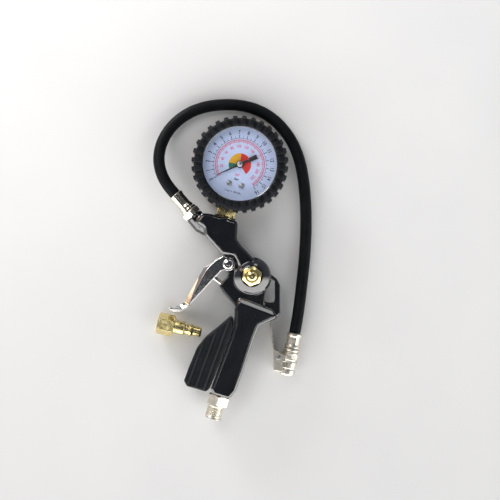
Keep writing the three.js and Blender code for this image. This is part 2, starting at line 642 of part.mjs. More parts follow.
function chuckBody() {
  const barrel = turned([
    [0, 14.6], [5.8, 14.6], [CHUCK_R, 15.6], [CHUCK_R, CHUCK_LENGTH - 1], [CHUCK_R - 0.8, CHUCK_LENGTH],
    [0, CHUCK_LENGTH],
  ]);
  const { s, w } = CHUCK_PIVOT;
  const earOutline = outline([
    [3, s - 3], [w, s - 2.6], [w + 1.9, s - 1.9], [w + 2.6, s], [w + 1.9, s + 1.9], [w, s + 2.6], [3, s + 3],
  ]);
  const ears = [slab(earOutline, 3.2, 6.7), slab(earOutline, -6.7, -3.2)];
  return cut(
    join(barrel, ...ears),
    rod(4.6, 14, 18.6),
    rod(2.9, 18, 25, SMALL),
    rod(5, 24.5, 29),
    rod(4.3, 28.5, CHUCK_LENGTH + 1),
    block(6, 6.4, 8, 6.4, 30.8, 0),
    post(1.4, -8, 8, SMALL).translate(w, s, 0),
  );
}
add('chuck_body', laid(chuckBody(), CHUCK), 'nickel');
add('chuck_seal', laid(sleeve(2.3, 4.7, 24.8, 28.4, 20), CHUCK), 'rubber');
add('chuck_depressor', laid(turned([
  [0, 19.4], [2.6, 19.4], [2.6, 20.6], [0.9, 21], [0.9, 27.6], [0, 27.6],
], SMALL), CHUCK), 'brass');

function clipLever() {
  const { s, w } = CHUCK_PIVOT;
  const web = slab(
    strip([[21.7, -4.7], [19.2, 1.4], [15.2, 14.1], [12.6, 22], [10.4, 32]], CLIP_SHEET),
    -CLIP_HALF,
    CLIP_HALF,
  );
  const flangeOutline = outline([
    [14.9, 14], [12.4, 22.2], [10.4, 31.2], [3.4, 31.2, 1], [4.6, 24, 2], [7, 18, 1],
  ]);
  const flanges = [
    slab(flangeOutline, CLIP_HALF - CLIP_SHEET, CLIP_HALF),
    slab(flangeOutline, -CLIP_HALF, CLIP_SHEET - CLIP_HALF),
  ];
  const claw = slab(outline([[10.2, 30.4], [10.2, 31.9], [4.9, 31.9], [4.7, 31.2]]), -3.4, 3.4);
  return cut(join(web, claw, ...flanges), post(1.4, -9, 9, SMALL).translate(w, s, 0));
}
add('chuck_clip_lever', laid(clipLever(), CHUCK), 'nickel');
add('chuck_pivot_pin', laid(upright([
  [0, -8.1], [1.1, -8.1], [1.1, 8.5], [2, 8.5], [1.8, 9.1], [0, 9.4],
], SMALL).translate(CHUCK_PIVOT.w, CHUCK_PIVOT.s, 0), CHUCK), 'steel');
add('chuck_clip_spring', laid(
  coil(1.85, 0.35, -2.9, 2.9, 4).rotateX(Math.PI / 2).translate(CHUCK_PIVOT.w, CHUCK_PIVOT.s, 0),
  CHUCK,
), 'steel');

// ---------------------------------------------------------------- loose quick plug

const quickPlug = cut(
  join(
    hexagon(PLUG_FLATS, 0, 13.4).rotateY(radians(30)),
    turned([
      [0, 12], [5.4, 12], [5.4, 21.6], [4.9, 22.2], [4.2, 22.4], [4.2, 25.4], [5.1, 26.2], [5.1, 27.4],
      [4.2, 29], [4, 34.4], [3.2, 35.6], [0, 35.6],
    ], 24),
  ),
  rod(5.9, -1, 10.4, 24),
  rod(2.4, 10, 37, SMALL),
);
add('quick_plug', laid(quickPlug, { ...PLUG, z: PLUG_FLATS / 2 }), 'brass');
add('quick_plug_washer', laid(sleeve(3, 5.5, 8.4, 10), { ...PLUG, z: PLUG_FLATS / 2 }), 'rubber');

export default inflator;
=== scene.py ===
import math

import bmesh
import bpy
from mathutils import Matrix, Vector


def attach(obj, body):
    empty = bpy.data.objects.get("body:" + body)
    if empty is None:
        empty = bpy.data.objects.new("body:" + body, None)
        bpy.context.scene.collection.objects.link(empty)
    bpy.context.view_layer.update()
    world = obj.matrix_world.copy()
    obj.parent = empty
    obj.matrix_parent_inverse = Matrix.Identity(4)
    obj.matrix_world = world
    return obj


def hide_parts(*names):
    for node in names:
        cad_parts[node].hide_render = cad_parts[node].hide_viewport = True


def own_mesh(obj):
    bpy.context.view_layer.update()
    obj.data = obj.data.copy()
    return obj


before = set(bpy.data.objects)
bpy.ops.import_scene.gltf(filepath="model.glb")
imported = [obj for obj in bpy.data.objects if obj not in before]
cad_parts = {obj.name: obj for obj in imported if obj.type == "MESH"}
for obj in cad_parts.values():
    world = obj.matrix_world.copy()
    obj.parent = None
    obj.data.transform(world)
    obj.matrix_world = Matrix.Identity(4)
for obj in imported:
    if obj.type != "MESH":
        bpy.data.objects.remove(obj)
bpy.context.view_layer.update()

# A pistol-grip tyre inflator. Shapes are made in millimetres, in the drawing's own frame, and
# moved into the row frame (metres) when a piece is finished.

MM = 0.001
ORIGIN = (-14.69, -15.01)  # the point of the drawing that lies at the row frame's origin
MID = 15.0  # height of the tool's middle plane
GAP = 0.3  # clearance between a fitting and its seat
TO_ROW = Matrix.Scale(MM, 4) @ Matrix.Translation((-ORIGIN[0], -ORIGIN[1], 0))

GAUGE = (0.0, 67.0)
STEM_ANGLE = 254.0  # direction from the dial's centre to the stem
DIAL_TOP = 21.6
BOOT_R = 35.8
BOOT_LUGS = 32
POINTER_ANGLE = 204.3
PIVOT = (-9.1, -11.1)
PIVOT_HOLE_R = 1.9
BODY_HALF = 10.5
GRIP_HALF = 11.0
BOSS = (9.4, -20.3)
BOSS_R = 14.8
BOSS_TOP = 27.5
OUTLET = dict(x=-36.5, y=27.1, z=MID, angle=131.0)
VALVE = dict(x=-16.0, y=-25.2, z=MID, angle=-36.0)
INLET = dict(x=-16.2, y=-114.6, z=MID, angle=253.5)
STEM = dict(x=GAUGE[0], y=GAUGE[1], z=MID, angle=STEM_ANGLE)
CHUCK = dict(x=43.5, y=-66.4, z=8.3, angle=258.0)
PLUG = dict(x=-65.5, y=-57.8, z=7.5, angle=-13.0)
STEM_SEAT = 43.3  # from the dial's centre to the casting's socket
STEM_END = 55.3
SCREW_HOLE_R = 1.45
THREAD_R = 6.5
THREAD_PITCH = 1.34
THREAD_BORE_R = 6.9
OUTLET_BORE_R = 4.9
BLEED_BORE_R = 5.2
VALVE_BORE_R = 2.8
LEVER_HALF = 9.8
LEVER_SHEET = 1.5
FERRULE_R = 5.9
CHUCK_R = 6.6
CHUCK_PIVOT = (9.0, 20.5)
CLIP_HALF = 8.2
CLIP_SHEET = 1.1
HOSE_R = 4.6
HOSE_ROUTE = [
    (-51.1, 43.9, 15), (-55.2, 48.7, 15), (-59.5, 55, 14.6), (-62.8, 62.8, 13.4), (-64.3, 71.2, 11.6),
    (-63.6, 79.8, 9.6), (-60.8, 88.5, 7.6), (-55.7, 96.8, 6.1), (-48.2, 104.4, 5.2), (-38.7, 110.4, 4.8),
    (-27.7, 114.2, 4.7), (-15.8, 115.9, 4.7), (-3.2, 115.8, 4.7), (7.9, 113.8, 4.7), (18.2, 109.8, 4.7),
    (27.8, 103.3, 4.7), (36, 94.6, 4.7), (42.8, 83.7, 4.7), (47.5, 71.1, 4.7), (50.4, 56.9, 4.7),
    (52, 41.1, 4.7), (52.6, 23.7, 4.7), (52.2, 6.3, 4.7), (51, -11.1, 4.9), (49.1, -28.4, 5.8),
    (46.9, -45.8, 7.4), (43.56, -66.1, 8.3),
]


# -------- camera

def row_point(x, y, z):
    return TO_ROW @ Vector((x, y, z))


def new_object(name, data):
    """An object in the scene that shows this mesh, curve, camera or lamp."""
    obj = bpy.data.objects.new(name, data)
    bpy.context.scene.collection.objects.link(obj)
    return obj


SENSOR = 36.0
CAMERA_HEIGHT = 900.0
VIEW_WIDTH = 395.0


def make_camera():
    data = bpy.data.cameras.new("camera")
    data.sensor_width = SENSOR
    data.lens = SENSOR * CAMERA_HEIGHT / VIEW_WIDTH
    data.clip_start, data.clip_end = 0.01, 20.0
    camera = new_object("camera", data)
    camera.location = row_point(7.9, 0.0, MID + CAMERA_HEIGHT)
    bpy.context.scene.camera = camera


make_camera()


# -------- materials

class Look:
    """A material's node tree with one Principled shader, and short calls that add to it."""

    def __init__(self, name):
        self.material = bpy.data.materials.new(name)
        self.material.use_nodes = True
        self.tree = self.material.node_tree
        self.shader = self.tree.nodes["Principled BSDF"]
        self.place = self.add("ShaderNodeTexCoord").outputs["Object"]

    def add(self, kind, **settings):
        node = self.tree.nodes.new(kind)
        for key, value in settings.items():
            setattr(node, key, value)
        return node

    def link(self, out, into):
        self.tree.links.new(out, into)

    def feed(self, name, out):
        self.link(out, self.shader.inputs[name])

    def fixed(self, **values):
        for key, value in values.items():
            self.shader.inputs[key.replace("_", " ")].default_value = value

    def mapped(self, turn, scale):
        node = self.add("ShaderNodeMapping", vector_type="TEXTURE")
        node.inputs["Rotation"].default_value = (0, 0, math.radians(turn))
        node.inputs["Scale"].default_value = scale
        self.link(self.place, node.inputs["Vector"])
        return node.outputs["Vector"]

    def noise(self, size, detail=3.0, rough=0.55, where=None):
        """Noise whose features are about `size` millimetres across."""
        node = self.add("ShaderNodeTexNoise")
        node.inputs["Scale"].default_value = 1.0 / (size * MM)
        node.inputs["Detail"].default_value = detail
        node.inputs["Roughness"].default_value = rough
        self.link(where or self.place, node.inputs["Vector"])
        return node.outputs["Fac"]

    def ramp(self, value, low, high, to_low=0.0, to_high=1.0):
        node = self.add("ShaderNodeMapRange")
        ends = {"From Min": low, "From Max": high, "To Min": to_low, "To Max": to_high}
        for key, number in ends.items():
            node.inputs[key].default_value = number
        self.link(value, node.inputs["Value"])
        return node.outputs["Result"]

    def mix(self, factor, first, second):
        node = self.add("ShaderNodeMix", data_type="RGBA")
        self.link(factor, node.inputs["Factor"])
        for socket, value in ((node.inputs[6], first), (node.inputs[7], second)):
            if isinstance(value, tuple):
                socket.default_value = (*value, 1.0)
            else:
                self.link(value, socket)
        return node.outputs[2]

    def math(self, operation, first, second):
        node = self.add("ShaderNodeMath", operation=operation)
        for socket, value in zip(node.inputs, (first, second)):
            if isinstance(value, (int, float)):
                socket.default_value = value
            else:
                self.link(value, socket)
        return node.outputs[0]

    def bump(self, heights):
        """Stacks bumps: a list of (height output, strength, distance in millimetres)."""
        normal = None
        for height, strength, depth in heights:
            node = self.add("ShaderNodeBump")
            node.inputs["Strength"].default_value = strength
            node.inputs["Distance"].default_value = depth * MM
            self.link(height, node.inputs["Height"])
            if normal is not None:
                self.link(normal, node.inputs["Normal"])
            normal = node.outputs["Normal"]
        self.feed("Normal", normal)


def cast_paint(name, dark, light, rough, peel, grain=0.0):
    """Stoved paint: faint colour drift, orange peel and dust specks under a clear coat."""
    look = Look(name)
    drift = look.ramp(look.noise(14.0), 0.35, 0.65)
    colour = look.mix(drift, dark, light)
    dust = look.ramp(look.noise(0.9, 2.0), 0.68, 0.76)
    dust = look.math("MULTIPLY", dust, look.ramp(look.noise(18.0, 2.0), 0.45, 0.62))
    colour = look.mix(look.math("MULTIPLY", dust, 0.35), colour, (0.16, 0.16, 0.165))
    look.feed("Base Color", colour)
    smear = look.ramp(look.noise(9.0, 4.0, 0.65), 0.3, 0.7, rough * 0.75, rough * 1.35)
    look.feed("Roughness", look.math("ADD", smear, look.math("MULTIPLY", dust, 0.25)))
    look.fixed(Coat_Weight=1.0, Coat_Roughness=0.06, Coat_IOR=1.9, Specular_IOR_Level=0.1)
    look.bump([(look.noise(1.9, 2.0), peel, 0.12), (look.noise(0.25, 2.0), grain, 0.05)])
    return look.material


def moulded(name, dark, light, rough, grain, size=0.35, gloss=0.18):
    """Moulded plastic or rubber: fine grain, bloom and pale flecks."""
    look = Look(name)
    bloom = look.ramp(look.noise(11.0, 4.0, 0.6), 0.35, 0.7)
    fleck = look.ramp(look.noise(0.6, 3.0), 0.62, 0.75)
    colour = look.mix(bloom, dark, light)
    colour = look.mix(look.math("MULTIPLY", fleck, 0.3), colour, tuple(c * 2.6 for c in light))
    look.feed("Base Color", colour)
    look.feed("Roughness", look.ramp(look.noise(5.0, 4.0), 0.3, 0.7, rough * 0.85, rough * 1.2))
    look.fixed(Specular_IOR_Level=gloss)
    look.bump([(look.noise(size, 3.0), grain, 0.06), (look.noise(2.6, 2.0), grain * 0.4, 0.12)])
    return look.material


def plated(name, bright, dull, rough, lines=0.1, turn=None, stain=(0.3, 0.26, 0.2)):
    """Bright metal: machining lines across the axis at `turn` degrees, stains and fine scratches."""
    look = Look(name)
    if turn is None:
        marks = look.noise(0.5, 3.0)
    else:
        marks = look.noise(0.22, 2.0, 0.5, look.mapped(turn, (1.0, 14.0, 14.0)))
    patch = look.ramp(look.noise(4.0, 4.0, 0.6), 0.35, 0.7)
    spots = look.ramp(look.noise(1.1, 3.0), 0.66, 0.74)
    colour = look.mix(patch, bright, dull)
    colour = look.mix(look.math("MULTIPLY", spots, 0.35), colour, stain)
    look.feed("Base Color", colour)
    smear = look.ramp(look.noise(2.4, 4.0), 0.3, 0.7, rough * 0.7, rough * 1.5)
    look.feed("Roughness", look.math("ADD", smear, look.math("MULTIPLY", spots, 0.18)))
    scratch = look.noise(0.3, 2.0, 0.5, look.mapped(37.0, (1.0, 22.0, 22.0)))
    look.fixed(Metallic=1.0)
    look.bump([(marks, lines, 0.02), (scratch, 0.06, 0.015)])
    return look.material


def printed(name, first, second, rough=0.42):
    """Printed or enamelled face: slight mottle and a fine tooth."""
    look = Look(name)
    look.feed("Base Color", look.mix(look.ramp(look.noise(3.0, 4.0), 0.3, 0.7), first, second))
    look.feed("Roughness", look.ramp(look.noise(1.2), 0.3, 0.7, rough * 0.85, rough * 1.15))
    look.bump([(look.noise(0.3, 2.0), 0.1, 0.02)])
    return look.material


def clear(name):
    """The gauge's clear window: it lets lamps through, with a faint haze of fine scuffs."""
    look = Look(name)
    look.fixed(Transmission_Weight=1.0, IOR=1.46, Base_Color=(0.96, 0.98, 1.0, 1.0))
    look.feed("Roughness", look.ramp(look.noise(1.5, 5.0, 0.7), 0.5, 0.8, 0.0, 0.05))
    through = look.add("ShaderNodeBsdfTransparent")
    rays = look.add("ShaderNodeLightPath")
    mixed = look.add("ShaderNodeMixShader")
    look.link(rays.outputs["Is Shadow Ray"], mixed.inputs["Fac"])
    look.link(look.shader.outputs[0], mixed.inputs[1])
    look.link(through.outputs[0], mixed.inputs[2])
    look.link(mixed.outputs[0], look.tree.nodes["Material Output"].inputs["Surface"])
    return look.material


NICKEL = (0.82, 0.78, 0.69)
NICKEL_DULL = (0.70, 0.66, 0.57)
BRASS = (0.90, 0.76, 0.38)
BRASS_DULL = (0.74, 0.60, 0.26)
BRASS_STAIN = (0.32, 0.2, 0.07)

LOOKS = {name: make(name, *values) for make, name, *values in (
    (cast_paint, "cast_black", (0.003, 0.0036, 0.005), (0.006, 0.007, 0.009), 0.2, 0.018),
    (cast_paint, "case_black", (0.008, 0.008, 0.009), (0.013, 0.013, 0.014), 0.3, 0.1, 0.1),
    (printed, "pointer_black", (0.006, 0.006, 0.007), (0.012, 0.012, 0.012), 0.4),
    (moulded, "grip_black", (0.006, 0.008, 0.010), (0.011, 0.013, 0.017), 0.42, 0.3),
    (moulded, "boot_rubber", (0.006, 0.007, 0.009), (0.011, 0.012, 0.015), 0.42, 0.25, 0.35, 0.1),
    (moulded, "hose_rubber", (0.004, 0.005, 0.006), (0.008, 0.009, 0.011), 0.4, 0.16, 0.6, 0.08),
    (moulded, "seal_rubber", (0.012, 0.012, 0.012), (0.022, 0.022, 0.022), 0.6, 0.3),
    (plated, "chrome", (0.83, 0.82, 0.81), (0.72, 0.70, 0.67), 0.09, 0.05),
    (plated, "steel", (0.56, 0.56, 0.57), (0.42, 0.42, 0.43), 0.3, 0.2),
    (plated, "nickel", NICKEL, NICKEL_DULL, 0.38, 0.1, INLET["angle"]),
    (plated, "nickel_outlet", NICKEL, NICKEL_DULL, 0.16, 0.1, OUTLET["angle"]),
    (plated, "nickel_chuck", NICKEL, NICKEL_DULL, 0.33, 0.1, CHUCK["angle"]),
    (plated, "brass", BRASS, BRASS_DULL, 0.2, 0.12, None, BRASS_STAIN),
    (plated, "brass_plug", BRASS, BRASS_DULL, 0.22, 0.05, PLUG["angle"], BRASS_STAIN),
    (printed, "dial_white", (0.41, 0.48, 0.68), (0.46, 0.53, 0.73), 0.38),
    (printed, "ink_black", (0.012, 0.014, 0.03), (0.022, 0.024, 0.04)),
    (printed, "ink_red", (0.50, 0.045, 0.13), (0.55, 0.07, 0.16)),
    (printed, "ink_pink", (0.48, 0.33, 0.45), (0.52, 0.37, 0.49)),
    (printed, "zone_red", (0.46, 0.012, 0.012), (0.52, 0.02, 0.018)),
    (printed, "zone_yellow", (0.56, 0.27, 0.005), (0.60, 0.32, 0.01)),
    (printed, "zone_green", (0.006, 0.11, 0.06), (0.01, 0.15, 0.075)),
    (clear, "lens_glass"),
)}


# -------- mesh making, in millimetres

def polar(radius, degrees):
    return radius * math.cos(math.radians(degrees)), radius * math.sin(math.radians(degrees))


def mesh_of(verts, faces):
    """A mesh with its faces turned outward."""
    mesh = bpy.data.meshes.new("shape")
    mesh.from_pydata([tuple(v) for v in verts], [], faces)
    work = bmesh.new()
    work.from_mesh(mesh)
    bmesh.ops.remove_doubles(work, verts=work.verts, dist=1e-4)
    bmesh.ops.recalc_face_normals(work, faces=work.faces)
    work.to_mesh(mesh)
    work.free()
    return mesh


def moved(mesh, matrix):
    mesh.transform(matrix)
    return mesh


def shift(x=0.0, y=0.0, z=0.0):
    return Matrix.Translation((x, y, z))


def turn(degrees, axis="Z"):
    return Matrix.Rotation(math.radians(degrees), 4, axis)


def laid(mesh, place):
    """A piece made on the Y axis, laid down at a place in its direction."""
    return moved(mesh, shift(place["x"], place["y"], place["z"]) @ turn(place["angle"] - 90.0))


def merged(*meshes):
    """Several shells in one mesh."""
    whole = bmesh.new()
    for mesh in meshes:
        whole.from_mesh(mesh)
    result = bpy.data.meshes.new("shape")
    whole.to_mesh(result)
    whole.free()
    return result


def outline(points, radius=0.0, steps=5):
    """[x, y, radius] corners as a closed line, each corner rounded by an arc."""
    result = []
    count = len(points)
    for i, (x, y, *own) in enumerate(points):
        here = Vector((x, y))
        back = Vector(points[i - 1][:2]) - here
        ahead = Vector(points[(i + 1) % count][:2]) - here
        r = own[0] if own else radius
        half = back.angle(ahead) / 2
        if r <= 0 or half > math.radians(89):
            result.append((x, y))
            continue
        reach = min(r / math.tan(half), 0.48 * back.length, 0.48 * ahead.length)
        r = reach * math.tan(half)
        centre = here + (back.normalized() + ahead.normalized()).normalized() * (r / math.sin(half))
        first = here + back.normalized() * reach - centre
        last = here + ahead.normalized() * reach - centre
        sweep = first.angle_signed(last)
        for k in range(steps + 1):
            spin = Matrix.Rotation(-sweep * k / steps, 2)
            at = centre + spin @ first
            result.append((at.x, at.y))
    return result


def slab(points, low, high, edge=0.0, steps=4, rise=None):
    """A prism of an outline, its top and bottom edges rounded by `edge`. With `rise` they are flat
    chamfers, `edge` wide and `rise` high."""
    if rise is not None:
        tall = edge / rise
        return moved(slab(points, low * tall, high * tall, edge, 1), Matrix.Diagonal((1, 1, 1 / tall, 1)))
    count = len(points)
    verts = [(x, y, low) for x, y in points] + [(x, y, high) for x, y in points]
    faces = [list(range(count)), list(range(count, 2 * count))]
    faces += [[i, (i + 1) % count, count + (i + 1) % count, count + i] for i in range(count)]
    mesh = mesh_of(verts, faces)
    if edge > 0:
        work = bmesh.new()
        work.from_mesh(mesh)
        rims = [e for e in work.edges if abs(e.verts[0].co.z - e.verts[1].co.z) < 1e-6]
        bmesh.ops.bevel(
            work, geom=rims, offset=edge, segments=steps, profile=0.5, affect="EDGES", clamp_overlap=True
        )
        work.to_mesh(mesh)
        work.free()
    return mesh


def turned(profile, sides=72, shape=None):
    """A turned piece on the Y axis from (radius, along) points. shape(radius, along, turn) can vary
    the radius round the piece, for threads, knurls and crimps."""
    closed = profile[0][0] > 0
    verts, rows = [], []
    for radius, along in profile:
        if radius <= 0:
            rows.append([len(verts)])
            verts.append((0.0, along, 0.0))
            continue
        rows.append(list(range(len(verts), len(verts) + sides)))
        for k in range(sides):
            spin = 2 * math.pi * k / sides
            r = shape(radius, along, spin) if shape else radius
            verts.append((r * math.cos(spin), along, r * math.sin(spin)))
    pairs = list(zip(rows, rows[1:]))
    if closed:
        pairs.append((rows[-1], rows[0]))
    faces = []
    for a, b in pairs:
        for k in range(sides):
            j = (k + 1) % sides
            face = [a[k % len(a)], a[j % len(a)], b[j % len(b)], b[k % len(b)]]
            face = [v for i, v in enumerate(face) if v not in face[:i]]
            if len(face) > 2:
                faces.append(face)
    return mesh_of(verts, faces)


def upright(profile, sides=72):
    return moved(turned(profile, sides), turn(90, "X"))


def rounded(profile, radius, steps=4):
    """A profile of (radius, along) points with its corners off the axis rounded."""
    result = []
    closed = profile[0][0] > 0
    for i, (r, s) in enumerate(profile):
        if not closed and i in (0, len(profile) - 1):
            result.append((r, s))
            continue
        here = Vector((r, s))
        back = Vector(profile[i - 1]) - here
        ahead = Vector(profile[(i + 1) % len(profile)]) - here
        reach = min(radius, 0.45 * back.length, 0.45 * ahead.length)
        start = here + back.normalized() * reach
        end = here + ahead.normalized() * reach
        for k in range(steps + 1):
            t = k / steps
            at = start.lerp(here, t).lerp(here.lerp(end, t), t)
            result.append((max(at.x, 0.0), at.y))
    return result


def rod(radius, start, end, sides=48):
    return turned([(0, start), (radius, start), (radius, end), (0, end)], sides)


def post(radius, low, high, x=0.0, y=0.0):
    return moved(rod(radius, low, high), shift(x, y) @ turn(90, "X"))


def box(x0, x1, y0, y1, z0, z1):
    return slab([(x0, y0), (x1, y0), (x1, y1), (x0, y1)], z0, z1)


def plate(points, radius, half, edge, rise=None):
    """A prism of a rounded outline, centred on the tool's middle plane."""
    return slab(outline(points, radius), MID - half, MID + half, edge, rise=rise)


def settled(data, add_modifiers=None):
    """The mesh that a mesh or a text becomes after its modifiers."""
    obj = new_object("work", data)
    if add_modifiers:
        add_modifiers(obj)
    result = bpy.data.meshes.new_from_object(obj.evaluated_get(bpy.context.evaluated_depsgraph_get()))
    bpy.data.objects.remove(obj)
    return result


def boolean(mesh, tool, operation="DIFFERENCE"):
    other = new_object("tool", tool)

    def modify(obj):
        modifier = obj.modifiers.new("cut", "BOOLEAN")
        modifier.operation = operation
        modifier.solver = "MANIFOLD"
        modifier.object = other

    result = settled(mesh, modify)
    bpy.data.objects.remove(other)
    return result


def cut(mesh, *tools):
    for tool in tools:
        mesh = boolean(mesh, tool)
    return mesh


def fused(mesh, voxel, smooth, factor=0.5):
    """Overlapping shells made into one skin, with soft edges and fillets about a voxel or two wide."""

    def modify(obj):
        remesh = obj.modifiers.new("skin", "REMESH")
        remesh.mode = "VOXEL"
        remesh.voxel_size = voxel
        relax = obj.modifiers.new("soften", "SMOOTH")
        relax.factor = factor
        relax.iterations = smooth

    return settled(mesh, modify)


def hexagon(flats, low, high, spin=0.0):
    """A hexagonal collar on the Y axis with chamfered corners."""
    corner = flats / math.sqrt(3)
    points = [polar(corner, 60 * k + 30) for k in range(6)]
    prism = moved(slab(points, low, high), turn(-90, "X"))
    outside = corner + 0.05
    chamfer = (corner - flats / 2) * 1.02
    rise = chamfer * 0.62
    turning = turned([
        (0, low), (corner - chamfer, low), (outside, low + rise),
        (outside, high - rise), (corner - chamfer, high), (0, high),
    ], 96)
    return moved(boolean(prism, turning, "INTERSECT"), turn(spin, "Y"))


def threaded(start, end, depth, core):
    """A radius rule for a screw thread with rounded crests, fading at both ends. Points nearer the
    axis than `core` stay where they are."""

    def rule(radius, along, spin):
        if radius <= core or not start < along < end:
            return radius
        phase = (along / THREAD_PITCH - spin / (2 * math.pi)) % 1.0
        tooth = min(1.0, max(0.0, 1.25 - abs(phase - 0.5) * 4.2))
        fade = min(1.0, (along - start) / THREAD_PITCH, (end - along) / THREAD_PITCH)
        return radius - depth * (1.0 - tooth) * max(0.0, fade)

    return rule


def spaced(start, end, step):
    count = max(1, round(abs(end - start) / step))
    return [start + (end - start) * k / count for k in range(count + 1)]


def coil(radius, wire, start, end, turns, steps=20, sides=8):
    """A coil spring on the Y axis with closed wire ends."""
    count = round(turns * steps)
    verts, faces = [], []
    for i in range(count + 1):
        spin = 2 * math.pi * turns * i / count
        along = start + wire + (end - start - 2 * wire) * i / count
        for k in range(sides):
            out, up = polar(wire, 360 * k / sides)
            r = radius + out
            verts.append((r * math.cos(spin), along + up, r * math.sin(spin)))
    for i in range(count):
        for k in range(sides):
            j = (k + 1) % sides
            faces.append([i * sides + k, i * sides + j, (i + 1) * sides + j, (i + 1) * sides + k])
    faces.append(list(range(sides)))
    faces.append(list(range(count * sides, (count + 1) * sides)))
    return mesh_of(verts, faces)


# -------- finishing pieces

def piece(name, mesh, look, body="inflator", replaces=(), sharp=35.0):
    """Puts a finished mesh in the row frame, gives it its look and makes it ride on its body."""
    mesh.transform(TO_ROW)
    mesh.name = name
    mesh.shade_smooth()
    mesh.set_sharp_from_angle(angle=math.radians(sharp))
    mesh.materials.clear()
    mesh.materials.append(LOOKS[look])
    obj = new_object(name, mesh)
    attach(obj, body)
    if replaces:
        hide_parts(*replaces)
    return obj


# -------- hose

def hose_line(steps=8):
    """Points along a centripetal curve through the route, in the row frame."""
    points = [Vector(p) for p in HOSE_ROUTE]
    ends = [2 * points[0] - points[1], *points, 2 * points[-1] - points[-2]]
    line = []
    for a, b, c, d in zip(ends, ends[1:], ends[2:], ends[3:]):
        ta = 0.0
        tb = ta + (b - a).length ** 0.5
        tc = tb + (c - b).length ** 0.5
        td = tc + (d - c).length ** 0.5
        for k in range(steps):
            t = tb + (tc - tb) * k / steps
            ab = a.lerp(b, (t - ta) / (tb - ta))
            bc = b.lerp(c, (t - tb) / (tc - tb))
            cd = c.lerp(d, (t - tc) / (td - tc))
            first = ab.lerp(bc, (t - ta) / (tc - ta))
            last = bc.lerp(cd, (t - tb) / (td - tb))
            line.append(first.lerp(last, (t - tb) / (tc - tb)))
    line.append(points[-1])
    return [TO_ROW @ p for p in line]


def make_hose():
    line = hose_line()
    data = bpy.data.curves.new("rubber_hose", "CURVE")
    data.dimensions = "3D"
    data.bevel_depth = HOSE_R * MM
    data.bevel_resolution = 10
    data.use_fill_caps = True
    spline = data.splines.new("POLY")
    spline.points.add(len(line) - 1)
    for point, at in zip(spline.points, line):
        point.co = (*at, 1.0)
    spline.use_smooth = True
    data.materials.append(LOOKS["hose_rubber"])
    hose = new_object("rubber_hose", data)
    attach(hose, "inflator")
    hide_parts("hose")
    length = sum((b - a).length for a, b in zip(line, line[1:]))
    return hose, line[0], length


hose, hose_exit, hose_length = make_hose()


# -------- body casting and grip

CHAMFER = 2.8
CHAMFER_RISE = 1.8
BROW_WIDTH = 3.6


def brow_wedge():
    """The space outside the wide bevel along the handle's upper edge, above and below."""
    tilt = math.degrees(math.atan2(CHAMFER_RISE, BROW_WIDTH))
    corner = BODY_HALF - CHAMFER_RISE
    above = moved(box(-60, 60, -30, 30, 0, 30), shift(z=MID + corner) @ turn(-tilt, "X"))
    below = moved(box(-60, 60, -30, 30, -30, 0), shift(z=MID - corner) @ turn(tilt, "X"))
    return moved(merged(above, below), shift(0, -37.6) @ turn(-20.9))


def at_boss(mesh):
    return moved(mesh, shift(*BOSS))


def pivot_hole():
    return post(PIVOT_HOLE_R, 0, 2 * MID, *PIVOT)


def make_boss():
    """The round valve housing, its face rolling over into its side."""
    roll = [(0, 5.6), (0.2, 4.85), (1.0, 4.05), (2.4, 2.85), (4.0, 1.7), (5.4, 0.8), (6.8, 0)]
    rim = [(BOSS_R - inward, BOSS_TOP - down) for inward, down in roll]
    return at_boss(upright([(0, 0), (BOSS_R - 3, 0), (BOSS_R, 3), *rim, (0, BOSS_TOP)], 160))


